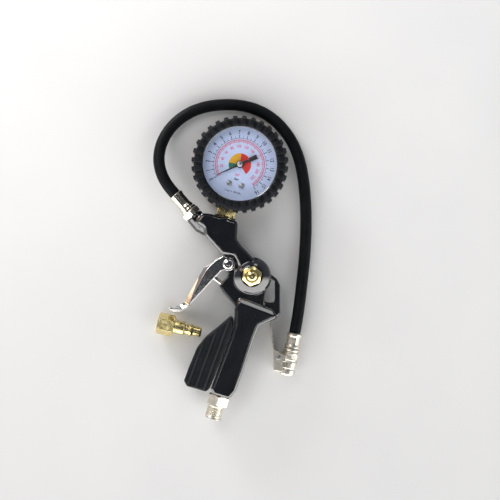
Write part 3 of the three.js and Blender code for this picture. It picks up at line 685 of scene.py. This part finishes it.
def make_body():
    neck = plate([
        (-3.8, 22.8), (-1.6, 20.6), (-2.4, 8.6), (1, 3.6), (8.4, -4), (14, -10), (1, -17), (-5, -5),
        (-14.6, -3.2), (-16.6, -0.8), (-27.2, 11), (-28.4, 17.6), (-34.6, 21.6), (-30, 29), (-22.4, 28.2),
    ], 2.2, BODY_HALF, CHAMFER, CHAMFER_RISE)
    middle = plate([
        (8, -3.4), (22, -18), (20, -34), (17.4, -56.5), (-4, -58), (-4.2, -44.5), (-14.4, -32.6),
        (-16.4, -28.4), (-12.3, -22.6), (-8.9, -19.6), (-12.8, -14.8), (-14.1, -9), (-12.8, -3),
    ], 1.6, 7.8, 1.2)
    loop = plate([
        (7, -2.6), (22.1, -17.2), (29, -22.4), (31.6, -27.6), (31.6, -50.6), (28, -54.6), (14, -60),
        (0, -50), (2, -10),
    ], 2.4, 5.5, 1.8)
    opening = slab(outline([
        (24.6, -23.6, 0.6), (27.3, -24.2, 0.8), (27.3, -42.2, 3), (13.2, -38.6, 1), (18.6, -33.6, 1),
        (22.6, -28.6, 1),
    ]), 0, 2 * MID)
    handle = plate([
        (0, -37.6), (26.2, -47.6), (28.8, -52.2), (26.8, -54), (15.2, -59.4), (11.4, -68.4), (3.2, -93.2),
        (-3.6, -111), (-8.6, -116.4), (-20.4, -112.8), (-22.9, -108.8), (-10.2, -75.6), (-4.6, -60),
        (-4.2, -46),
    ], 2.4, BODY_HALF, CHAMFER, CHAMFER_RISE)
    boss = make_boss()
    outlet_boss = laid(turned([(0, -19), (3.5, -19), (7, -10.5), (7, -1), (6.4, 0), (0, 0)], 64), OUTLET)
    socket = laid(turned([
        (0, STEM_SEAT), (9.7, STEM_SEAT), (10.2, 44), (10.2, STEM_END), (0, STEM_END),
    ], 64), STEM)
    shells = merged(
        neck, middle, cut(loop, opening), cut(handle, brow_wedge()), boss.copy(), outlet_boss, socket,
    )
    skin = boolean(fused(shells, 0.5, 5), boss, "UNION")
    return cut(
        skin,
        laid(rod(THREAD_BORE_R, STEM_SEAT - 1, STEM_END), STEM),
        laid(rod(OUTLET_BORE_R, -12, 1), OUTLET),
        at_boss(post(BLEED_BORE_R, 9, BOSS_TOP + 1)),
        laid(rod(VALVE_BORE_R, -4, 25), VALVE),
        laid(rod(THREAD_BORE_R, -12, 4), INLET),
        pivot_hole(),
    )


piece("cast_body", make_body(), "cast_black", replaces=["body_casting"], sharp=50)


def make_grip():
    shell = plate([
        (-5.8, -50.6), (-17.4, -60.8), (-26.6, -68), (-33.6, -76.4), (-39.7, -90.9), (-43.9, -102.4),
        (-41.6, -106.4), (-26.4, -110.8), (-23.5, -108), (-10.7, -75.6), (-5.2, -59),
    ], 2.0, GRIP_HALF, 3.0)
    flutes = [
        moved(rod(2.2, -44, 38, 32), shift(across, -84, MID + side * (GRIP_HALF + 1.2)) @ turn(-20))
        for side in (-1, 1)
        for across in (-31.6, -24.6, -17.6)
    ]
    return fused(cut(shell, *flutes), 0.45, 3)


piece("moulded_grip", make_grip(), "grip_black", replaces=["finger_grip"], sharp=60)


# -------- air inlet

def make_inlet():
    barrel = [(THREAD_R, along) for along in spaced(8.2, 18.9, 0.16)]
    nipple = turned([
        (4, -11.5), (THREAD_R, -11.5), *barrel, (6.0, 19.2), (4.4, 19.2), (4, 18.8),
    ], 64, threaded(9.0, 18.4, depth=0.62, core=5.5))
    return laid(merged(nipple, cut(hexagon(16, GAP, 8), rod(6.3, -1, 9))), INLET)


piece("inlet_fitting", make_inlet(), "nickel", replaces=["inlet_nipple"])


# -------- lever, pin and clip

LEVER_EDGE = [
    (-13, -3.9), (-19, -7.0), (-23.5, -10.4), (-28.6, -13.9), (-43.6, -40.4), (-46.4, -42.9),
    (-52.5, -44.3), (-55.9, -44.2),
]
EDGE_WIDTHS = [0.8, 1.0, 1.6, 3.0, 4.6, 3.0, 1.2, 0.6]  # of the bevel, at each corner of the edge


def inset_line(points, distances):
    """The open line moved to its left by a distance at each corner, its corners kept sharp."""
    line = [Vector(p) for p in points]
    result = []
    for i, (here, distance) in enumerate(zip(line, distances)):
        before = here - line[i - 1] if i else line[1] - here
        after = line[i + 1] - here if i + 1 < len(line) else before
        along = (before.normalized() + after.normalized()).normalized()
        left = Vector((-along.y, along.x))
        square = left.dot(Vector((-before.y, before.x)).normalized())
        result.append(tuple(here + left * (distance / square)))
    return result


def stacked(layers):
    """A closed body through outlines of equal length, each at its own height."""
    count = len(layers[0][0])
    verts = [(x, y, z) for points, z in layers for x, y in points]
    faces = [list(range(count)), list(range(len(verts) - count, len(verts)))]
    for base in range(0, len(verts) - count, count):
        faces += [
            [base + i, base + (i + 1) % count, base + count + (i + 1) % count, base + count + i]
            for i in range(count)
        ]
    return mesh_of(verts, faces)


def lever_prism(half, side_widths, face_widths, rise, behind):
    """A block ending at the lever's front edge, which is bevelled above and below."""
    side = [*inset_line(LEVER_EDGE, side_widths), *behind]
    face = [*inset_line(LEVER_EDGE, face_widths), *behind]
    return stacked([
        (face, MID - half), (side, MID - half + rise), (side, MID + half - rise), (face, MID + half),
    ])


def make_lever():
    sheet = LEVER_SHEET
    flange = outline([
        (-13.2, -4.6), (-19, -7.2), (-28.6, -13.9), (-43.6, -40.4), (-46.4, -42.9), (-52.5, -44.3, 0.8),
        (-55.9, -44.2, 0.8), (-55.2, -46.4, 1), (-51.2, -48.4, 1), (-46.6, -48, 1), (-41.9, -45.2, 1),
        (-14.2, -15.8), (-10, -15.4, 1), (-6, -11), (-8, -7),
    ], 2.0)
    corners = len(LEVER_EDGE)
    behind = [(-56.6, -46), (-56.6, -62), (12, -62), (12, 0)]
    shell = lever_prism(LEVER_HALF, [0.0] * corners, EDGE_WIDTHS, 2.3, behind)
    behind = [(-60, -45.6), (-60, -66), (16, -66), (16, 4)]
    inner = [max(sheet, width + 0.45) for width in EDGE_WIDTHS]
    hollow = lever_prism(LEVER_HALF - sheet, [sheet] * corners, inner, 1.7, behind)
    shell = boolean(cut(shell, hollow), slab(flange, 0, 2 * MID), "INTERSECT")
    eyes = [
        post(5.2, low, low + sheet, *PIVOT) for low in (MID - LEVER_HALF, MID + LEVER_HALF - sheet)
    ]
    return cut(fused(merged(shell, *eyes), 0.28, 3), pivot_hole())


piece("squeeze_lever", make_lever(), "chrome", "trigger", ["trigger_lever"], sharp=50)

LEVER_TOP = MID + LEVER_HALF + GAP
piece("lever_pin", moved(upright(rounded([
    (0, 3.1), (1.6, 3.1), (1.6, LEVER_TOP), (4.2, LEVER_TOP), (4.2, LEVER_TOP + 0.8),
    (3.3, LEVER_TOP + 1.7), (1.7, LEVER_TOP + 2.15), (0, LEVER_TOP + 2.2),
], 0.5)), shift(*PIVOT)), "chrome", replaces=["trigger_pivot_pin"])


# -------- valves

piece("plunger_bush", laid(turned(rounded([(1.95, 4.2), (2.5, 4.2), (2.5, 10), (1.95, 10)], 0.2)), VALVE),
      "brass", replaces=["valve_bushing"])
piece("plunger_pin", laid(turned(rounded([
    (0, -14.6), (1.1, -14.6), (1.65, -14), (1.65, 11.2), (2.4, 11.6), (2.4, 13), (0.9, 13.4), (0.9, 15),
    (0, 15),
], 0.3)), VALVE), "chrome", "valve_stem", ["valve_plunger"])


def make_bleed_nut():
    """The hexagon with its coned top, soft at its edges, on a sleeve that goes into the boss."""
    collar = moved(hexagon(14, BOSS_TOP + GAP, 32), turn(90, "X"))
    cone = upright([(0, 27), (9, 27), (9, 29.9), (8.1, 30.3), (5.2, 32), (0, 32)], 96)
    nut = cut(boolean(collar, cone, "INTERSECT"), post(4.6, 20, 40))
    sleeve = upright([(2.1, 16), (4.9, 16), (4.9, 27.9), (4.6, 27.9), (4.6, 26.5), (2.1, 26.5)], 64)
    return at_boss(merged(moved(fused(nut, 0.18, 2), turn(-10)), sleeve))


piece("bleed_nut", make_bleed_nut(), "brass", replaces=["bleed_bushing"], sharp=40)
piece("bleed_dome", at_boss(upright(rounded([
    (0, 12.6), (2.2, 12.6), (2.2, 13.8), (1.7, 13.9), (1.7, 29.6), (4.25, 29.6), (4.25, 32.4),
    (3.9, 33.9), (2.6, 34.85), (1.2, 35.1), (0, 35.15),
], 0.6))), "brass", "bleed_button", ["bleed_button"], sharp=60)


# -------- valve springs

def spring(name, mesh, node):
    """A steel coil in place of its CAD node, with a mesh of its own."""
    wire = piece(name, mesh, "steel", replaces=[node])
    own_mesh(wire)


VALVE_COIL = (16.2, 24.7)
BLEED_COIL = (26.8, 29.4)
spring("valve_coil", laid(coil(1.7, 0.3, *VALVE_COIL, 4), VALVE), "valve_spring")
spring("bleed_coil", moved(coil(3.2, 0.35, *BLEED_COIL, 2), shift(*BOSS) @ turn(90, "X")), "bleed_spring")


# -------- gauge

def at_gauge(mesh):
    return moved(mesh, shift(*GAUGE))


def make_boot():
    """A ring of ribbed lugs round a cup, open where the stem goes in."""
    rim = 31.3
    shell = upright([
        (21, 0), (33, 0), (BOOT_R, 3.0), (BOOT_R, 29.6), (34.2, 31.7), (30.2, 32.0), (29.3, 31.7),
        (29.3, rim), (33.9, rim), (33.9, 2.7), (21, 2.7),
    ], 128)
    profile = outline([
        (33, 0.4), (37.8, 4.6), (37.8, 28.8), (35.0, 32.9), (31, 33.5), (30.2, 32.9), (30.2, rim + 0.5),
        (33, rim + 0.5), (34.4, 31.2), (35, 28.6), (35, 4),
    ], 0.8)
    lug = moved(slab(profile, -1.75, 1.75), turn(90, "X"))
    lugs = [moved(lug.copy(), turn(360 / BOOT_LUGS * (i + 0.5))) for i in range(BOOT_LUGS)]
    stem_hole = moved(box(-8.5, 8.5, 24, 44, -8.5, 8.5), shift(z=MID) @ turn(STEM_ANGLE - 90))
    return at_gauge(cut(fused(merged(shell, *lugs), 0.42, 3, 0.45), stem_hole))


piece("rubber_boot", make_boot(), "boot_rubber", replaces=["gauge_boot"], sharp=60)

piece("gauge_bezel_ring", at_gauge(upright(rounded([
    (33.6, 24), (33.6, 30.2), (32.8, 31), (29.2, 31), (28.7, 30.6), (28.9, 30.2), (33, 30.1), (33, 24),
], 0.35), 128)), "case_black", replaces=["gauge_bezel"])
piece("gauge_window", at_gauge(upright(rounded([(0, 28), (32.4, 28), (32.4, 29.8), (0, 29.8)], 0.2), 128)),
      "lens_glass", replaces=["gauge_lens"])
piece("gauge_shell", at_gauge(cut(
    upright([
        (0, 3), (30, 3), (31.5, 4.6), (31.5, 23), (32.8, 23.6), (32.8, 26), (30.6, 26), (30.6, 3.9),
        (0, 3.9),
    ], 128),
    laid(rod(5.9, 25, 36), dict(x=0, y=0, z=MID, angle=STEM_ANGLE)),
)), "case_black", replaces=["gauge_case"])

SCREWS = [polar(16.4, STEM_ANGLE + 3 + side) for side in (-17, 17)]
piece("dial_plate", at_gauge(cut(
    upright(rounded([(0, 21), (29.6, 21), (29.6, DIAL_TOP), (0, DIAL_TOP)], 0.15), 128),
    post(1.4, 20, 23), *(post(1.5, 20, 23, x, y) for x, y in SCREWS),
)), "dial_white", replaces=["gauge_dial"])

for number, (x, y) in enumerate(SCREWS, 1):
    head = upright(rounded([
        (0, 14), (1.15, 14), (1.15, 21.9), (2.1, 21.9), (2.1, 22.6), (1.5, 23.1), (0, 23.2),
    ], 0.25), 48)
    slot = moved(box(-3, 3, -0.22, 0.22, 22.75, 24), turn(35 * number))
    piece(f"dial_screw_head_{number}", at_gauge(moved(cut(head, slot), shift(x, y))), "steel",
          replaces=[f"dial_screw_{number}"])


# Dial printing: scales, numerals and zones, each a thin closed layer on the plate
INK_LOW, INK_HIGH = DIAL_TOP, DIAL_TOP + 0.03
ZERO_ANGLE = 207.0
BAR_STEP = 16.6  # degrees
FULL_SCALE = 16
FULL_PSI = 230
PSI_PER_BAR = 14.504
BAR_LINE_R = 20.4
PSI_LINE_R = 18.8
PSI_BAND_R = 17.65
ZONE_R, ZONE_HOLE_R = 8.7, 1.5
UPRIGHT_TURN = STEM_ANGLE - 270


def bar_angle(value):
    return ZERO_ANGLE - BAR_STEP * value


FULL_ANGLE = bar_angle(FULL_SCALE)


def band(inner, outer, start, end):
    angles = spaced(start, end, 3.0)
    ring = [polar(outer, a) for a in angles] + [polar(inner, a) for a in reversed(angles)]
    return slab(ring, INK_LOW, INK_HIGH)


def tick(inner, outer, angle, width):
    return moved(box(inner, outer, -width / 2, width / 2, INK_LOW, INK_HIGH), turn(angle))


def lettering(text, size, radius, angle, spin, stretch=1.0):
    """Generic numerals or units as thin solids, centred on a place on the dial."""
    data = bpy.data.curves.new("lettering", "FONT")
    data.body = text
    data.size = size
    data.align_x, data.align_y = "CENTER", "CENTER"
    data.extrude = (INK_HIGH - INK_LOW) / 2
    data.offset = size * 0.022
    data.resolution_u = 3
    x, y = polar(radius, angle)
    scale = Matrix.Diagonal((stretch, 1.0, 1.0, 1.0))
    return moved(settled(data), shift(x, y, (INK_LOW + INK_HIGH) / 2) @ turn(spin) @ scale)


def make_black_print():
    marks = []
    for value in range(FULL_SCALE + 1):
        angle = bar_angle(value)
        marks.append(tick(BAR_LINE_R, 22.9, angle, 0.5))
        marks.append(lettering(str(value), 4.0, 24.9, angle, angle - 90, 0.85))
        if value < FULL_SCALE:
            marks.append(tick(BAR_LINE_R, 21.7, angle - BAR_STEP / 2, 0.32))
    marks.append(band(BAR_LINE_R - 0.25, BAR_LINE_R, ZERO_ANGLE, FULL_ANGLE))
    marks.append(lettering("bar", 3.0, 11.6, STEM_ANGLE + 3, UPRIGHT_TURN, 0.9))
    marks.append(lettering("1 bar = 100 kPa", 2.0, 21.7, STEM_ANGLE + 1, UPRIGHT_TURN))
    return at_gauge(merged(*marks))


def make_red_print():
    marks = [
        band(PSI_LINE_R, PSI_LINE_R + 0.5, ZERO_ANGLE, FULL_ANGLE),
        band(PSI_BAND_R - 0.3, PSI_BAND_R, ZERO_ANGLE, FULL_ANGLE),
    ]
    for value in range(0, FULL_PSI + 1, 10):
        angle = bar_angle(value / PSI_PER_BAR)
        marks.append(tick(17.5 if value % 20 else 16.2, PSI_LINE_R + 0.1, angle, 0.34))
        if value % 20 == 0 and value > 0:
            marks.append(lettering(str(value), 3.1, 14.0, angle, angle - 90, 0.8))
    marks.append(lettering("psi", 3.0, 8.0, STEM_ANGLE + 2, UPRIGHT_TURN, 0.9))
    return at_gauge(merged(*marks))


piece("dial_print_black", make_black_print(), "ink_black")
piece("dial_print_red", make_red_print(), "ink_red")
piece("dial_print_band", at_gauge(band(PSI_BAND_R, PSI_LINE_R, ZERO_ANGLE, FULL_ANGLE)), "ink_pink")
for colour, start, end in (("green", 205, 168), ("yellow", 168, 82), ("red", 82, -58)):
    piece(f"dial_zone_{colour}", at_gauge(band(ZONE_HOLE_R, ZONE_R, start, end)), f"zone_{colour}")


def make_pointer():
    blade = slab(outline([
        (20.6, -0.2), (20.6, 0.2), (2.4, 0.85), (-7.6, 0.9), (-8.4, 1.7), (-14.5, 1.8), (-14.5, -1.8),
        (-8.4, -1.7), (-7.6, -0.9), (2.4, -0.85),
    ], 0.3), 23.2, 23.7, 0.08, 2)
    disc = upright(rounded([(0, 23.2), (2.9, 23.2), (2.9, 23.72), (0, 23.72)], 0.1), 48)
    blade, disc = (cut(part, post(1.15, 22, 25)) for part in (blade, disc))
    return at_gauge(merged(moved(blade, turn(POINTER_ANGLE)), disc))


piece("pointer_blade", make_pointer(), "pointer_black", "pointer", ["pointer"])
piece("pointer_boss", at_gauge(upright(rounded([
    (0, 24.7), (2.2, 24.7), (2.2, 25.4), (1.5, 25.9), (0, 26),
], 0.25), 48)), "steel", "pointer", ["pointer_cap"])


def make_stem():
    """The square with its threaded neck, and the block inside the case that the dial is screwed to."""
    square = slab(outline([(-7, 34.4), (7, 34.4), (7, 42), (-7, 42)], 0.5, 3), -7, 7, 0.45, 3)
    thread = [(THREAD_R, along) for along in spaced(42, 53.6, 0.3)]
    neck = turned([
        (1.6, 23), (5.4, 23), (5.4, 35), (5.4, 41.5), (THREAD_R, 41.5), *thread, (6.0, 53.9), (1.6, 53.9),
    ], 48, threaded(44.0, 53.4, depth=0.6, core=6.2))
    holes = (moved(post(SCREW_HOLE_R, 11, 30, *GAUGE), shift(x, y)) for x, y in SCREWS)
    block = cut(laid(box(-10, 10, 12, 24, -6.7, 4.3), STEM), *holes)
    return merged(laid(cut(square, rod(6.0, 30, 45)), STEM), laid(neck, STEM), block)


piece("brass_stem", make_stem(), "brass", replaces=["gauge_stem"])


# -------- outlet, ferrules and hose end

CRIMP_FLATS = 8


def crimp(middle, half, depth):
    """A radius rule for a crimped sleeve: flats pressed round its waist."""

    def rule(radius, along, spin):
        if radius < 4.2:
            return radius
        reach = max(0.0, 1.0 - abs(along - middle) / half)
        press = min(1.0, reach * 3.0)
        wave = 0.72 + 0.28 * abs(math.cos(spin * CRIMP_FLATS / 2))
        return radius - depth * press * wave

    return rule


def make_ferrule(start, end):
    edge = 0.4
    outer = [(FERRULE_R, along) for along in spaced(start + edge, end - edge, 0.35)]
    return turned([
        (3.5, start), (FERRULE_R - edge, start), *outer, (FERRULE_R - edge, end), (5.0, end), (3.5, end),
    ], 96, crimp((start + end) / 2, (end - start) * 0.36, 0.55))


piece("gun_ferrule", laid(make_ferrule(7.2, 22), OUTLET), "nickel_outlet", replaces=["hose_ferrule_gun"])
piece("chuck_ferrule", laid(make_ferrule(0, 12), CHUCK), "nickel_chuck", replaces=["hose_ferrule_chuck"])
outlet_nut = fused(cut(hexagon(14, GAP, 5), rod(4.4, -1, 6)), 0.2, 2)
outlet_barb = turned(rounded([
    (1.9, -10.5), (4.5, -10.5), (4.5, 5.0), (6.6, 5.0), (6.6, 6.9), (3.1, 6.9), (3.1, 20.5), (1.9, 20.5),
], 0.25), 72)
piece("outlet_fitting", laid(merged(outlet_nut, outlet_barb), OUTLET), "nickel_outlet",
      replaces=["outlet_nipple"], sharp=40)
piece("chuck_shank", laid(turned(rounded([
    (1.6, 1.4), (3.1, 1.4), (3.1, 12.3), (6.4, 12.3), (6.6, 13.3), (6.4, 14.3), (4.3, 14.3), (4.3, 18),
    (1.6, 18),
], 0.3), 96), CHUCK), "nickel_chuck", replaces=["chuck_tail"])


# -------- clip-on chuck

def at_chuck_pivot(mesh):
    return moved(mesh, shift(*CHUCK_PIVOT))


def make_chuck_body():
    def knurl(radius, along, spin):
        if not 16.6 < along < 20.6 or radius < 6.4:
            return radius
        return radius - 0.28 * (0.5 + 0.5 * math.cos(spin * 36))

    grip = [(CHUCK_R, along) for along in spaced(16.2, 21, 0.3)]
    barrel = turned([
        (0, 14.6), (5.9, 14.6), (CHUCK_R, 15.5), *grip, (6.2, 21.4), (6.2, 22.4), (CHUCK_R, 22.8),
        (CHUCK_R, 27.6), (6.3, 28.0), (6.3, 28.6), (CHUCK_R, 29.0), (CHUCK_R, 32.4), (5.8, 33.5), (0, 33.5),
    ], 144, knurl)
    across, up = CHUCK_PIVOT
    ear = outline([
        (3, up - 3), (across, up - 2.6), (across + 1.9, up - 1.9), (across + 2.6, up),
        (across + 1.9, up + 1.9), (across, up + 2.6), (3, up + 3),
    ], 1.0)
    ears = [slab(ear, 3.2, 6.7, 0.35, 3), slab(ear, -6.7, -3.2, 0.35, 3)]
    skin = fused(merged(barrel, *ears), 0.22, 2)
    return cut(
        skin, rod(4.6, 14, 18.6), rod(2.9, 18, 25), rod(5, 24.5, 29), rod(4.3, 28.5, 34.5),
        box(3.4, 9.4, 27.6, 34, -4, 4), post(1.4, -8, 8, *CHUCK_PIVOT),
    )


piece("chuck_barrel", laid(make_chuck_body(), CHUCK), "nickel_chuck", replaces=["chuck_body"], sharp=45)


def make_clip():
    web_outer = [(21.7, -4.7), (19.2, 1.4), (15.2, 14.1), (12.6, 22), (10.4, 32)]
    web_inner = [(9.3, 31.8), (11.5, 21.7), (14.1, 13.8), (18.1, 1.1), (20.6, -5.2)]
    web = slab(web_outer + web_inner, -CLIP_HALF, CLIP_HALF)
    plan = moved(slab(outline([
        (-7, -5.4), (-7, 5.4), (2, 7.2), (14, CLIP_HALF), (34, CLIP_HALF), (34, -CLIP_HALF),
        (14, -CLIP_HALF), (2, -7.2),
    ], 2.6), 0, 30), turn(90) @ turn(90, "X"))
    web = boolean(web, plan, "INTERSECT")
    side = outline([(14.9, 14), (12.4, 22.2), (10.4, 31.2), (3.4, 31.2, 1), (4.6, 24, 2), (7, 18, 1)], 0.3)
    sides = [
        slab(side, CLIP_HALF - CLIP_SHEET, CLIP_HALF, 0.15, 2),
        slab(side, -CLIP_HALF, CLIP_SHEET - CLIP_HALF, 0.15, 2),
    ]
    claw = slab([(10.2, 30.4), (10.2, 31.9), (4.9, 31.9), (4.7, 31.2)], -3.4, 3.4)
    skin = fused(merged(web, claw, *sides), 0.24, 2)
    return laid(cut(skin, post(1.4, -9, 9, *CHUCK_PIVOT)), CHUCK)


piece("clip_lever", make_clip(), "nickel_chuck", "chuck_clip", ["chuck_clip_lever"], sharp=50)
piece("clip_pin", laid(at_chuck_pivot(upright(rounded([
    (0, -8.1), (1.1, -8.1), (1.1, 8.5), (2, 8.5), (1.8, 9.1), (0, 9.4),
], 0.2), 32)), CHUCK), "steel", replaces=["chuck_pivot_pin"])
piece("clip_coil", laid(at_chuck_pivot(moved(coil(1.85, 0.35, -2.9, 2.9, 4), turn(90, "X"))), CHUCK),
      "steel", replaces=["chuck_clip_spring"])


# -------- loose quick plug

def fluted(radius, along, spin):
    """A radius rule for fine flutes along the widest stretch of the shank."""
    if radius < 5.2:
        return radius
    return radius - 0.12 * (0.5 + 0.5 * math.cos(spin * 30))


def make_plug():
    nut = fused(cut(hexagon(15, 0, 13.4, 30), rod(5.9, -1, 10.4, 64)), 0.17, 1)
    shank = turned(rounded([
        (2.4, 10.6), (5.4, 10.6), (5.4, 21.6), (4.9, 22.2), (4.2, 22.4), (4.2, 25.4), (5.1, 26.2),
        (5.1, 27.4), (4.2, 29), (4, 34.4), (3.2, 35.6), (2.4, 35.6),
    ], 0.3), 96, fluted)
    return laid(merged(nut, shank), PLUG)


piece("loose_plug", make_plug(), "brass_plug", "loose_plug", ["quick_plug"], sharp=40)


# -------- CAD nodes that stay as they are

CARRIED = {
    "steel": ["inlet_strainer", "trigger_pivot_clip", "pinion_spindle", "hairspring"],
    "seal_rubber": ["bleed_seal", "lens_gasket", "stem_seal", "chuck_seal", "quick_plug_washer"],
    "brass": [
        "bourdon_tube", "bourdon_tip", "movement_lower_plate", "movement_upper_plate", "sector_gear",
        "movement_link", "chuck_depressor",
    ],
}
for look_name, nodes in CARRIED.items():
    for node in nodes:
        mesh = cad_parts[node].data
        mesh.materials.clear()
        mesh.materials.append(LOOKS[look_name])


# -------- floor, lights and surroundings

def make_floor():
    look = Look("floor")
    drift = look.ramp(look.noise(160.0), 0.35, 0.65)
    look.feed("Base Color", look.mix(drift, (0.68, 0.68, 0.685), (0.71, 0.71, 0.71)))
    look.fixed(Roughness=0.75)
    mesh = bpy.data.meshes.new("floor")
    half = 4.0
    corners = [(-half, -half, 0), (half, -half, 0), (half, half, 0), (-half, half, 0)]
    mesh.from_pydata(corners, [], [(0, 1, 2, 3)])
    mesh.materials.append(look.material)
    floor = new_object("floor", mesh)
    floor.location.z = -0.0002


def around(azimuth, elevation, distance):
    """A place seen from the object in a direction."""
    flat, up = polar(distance, elevation)
    return (*polar(flat, azimuth), up)


def panel(name, at, size, radiance, colour=(1.0, 1.0, 1.0), aim=(0.0, 0.0, 0.0)):
    """A soft rectangular lamp that faces `aim`, its power worked out from its brightness."""
    data = bpy.data.lights.new(name, "AREA")
    data.shape = "RECTANGLE"
    data.size, data.size_y = size
    data.energy = radiance * math.pi * size[0] * size[1]
    data.color = colour
    light = new_object(name, data)
    light.location = at
    light.rotation_mode = "QUATERNION"
    light.rotation_quaternion = (Vector(aim) - Vector(at)).to_track_quat("-Z", "Y")


GLOW = (5.3, 5.25, 5.15)


def make_world():
    """A dim room, darker overhead, with a wide soft glow in front of the object near the horizon."""
    world = bpy.data.worlds.new("surroundings")
    bpy.context.scene.world = world
    world.use_nodes = True
    add, link = world.node_tree.nodes.new, world.node_tree.links.new

    def ramp(source, *stops):
        node = add("ShaderNodeValToRGB")
        while len(node.color_ramp.elements) < len(stops):
            node.color_ramp.elements.new(0.5)
        for element, (position, colour) in zip(node.color_ramp.elements, stops):
            element.position = position
            element.color = (*colour, 1.0)
        link(source, node.inputs["Fac"])
        return node.outputs["Color"]

    place = add("ShaderNodeTexCoord")
    split = add("ShaderNodeSeparateXYZ")
    link(place.outputs["Generated"], split.inputs["Vector"])
    dark, white = (0.0, 0.0, 0.0), (1.0, 1.0, 1.0)
    room = ramp(split.outputs["Z"], (0.0, (0.50, 0.51, 0.56)), (0.9, (0.06, 0.068, 0.08)))
    rise = ramp(split.outputs["Z"], (0.0, dark), (0.07, white), (0.62, white), (0.76, dark))
    ahead = add("ShaderNodeMath")
    ahead.operation = "MULTIPLY"
    ahead.inputs[1].default_value = -1.0
    link(split.outputs["Y"], ahead.inputs[0])
    front = ramp(ahead.outputs["Value"], (0.06, dark), (0.34, white))
    glow = add("ShaderNodeMixRGB")
    glow.blend_type = "MULTIPLY"
    glow.inputs["Fac"].default_value = 1.0
    link(rise, glow.inputs["Color1"])
    link(front, glow.inputs["Color2"])
    total = add("ShaderNodeMixRGB")
    total.inputs["Color2"].default_value = (*GLOW, 1.0)
    link(glow.outputs["Color"], total.inputs["Fac"])
    link(room, total.inputs["Color1"])
    background = world.node_tree.nodes["Background"]
    link(total.outputs["Color"], background.inputs["Color"])
    background.inputs["Strength"].default_value = 0.72


make_floor()
make_world()
panel("top_strip", around(69, 36, 1.1), (0.26, 0.36), 2.4)
panel("upper_left", around(124, 15, 1.0), (0.34, 0.26), 22.0)
panel("warm_left", around(150, 35, 1.0), (0.2, 0.42), 2.4, (1.0, 0.64, 0.38))
panel("key", around(125, 56, 1.35), (0.6, 0.6), 3.0)
# Two small panels high above, mirrored only by the bright metal under them
for name, x, y, size, radiance in (
    ("over_plug", -0.165, -0.17, (0.14, 0.13), 2.4),
    ("over_chuck", 0.122, -0.215, (0.1, 0.14), 4.0),
):
    panel(name, (x, y, 1.5), size, radiance, aim=(x, y, 0.0))
bpy.context.scene.view_settings.view_transform = "Standard"
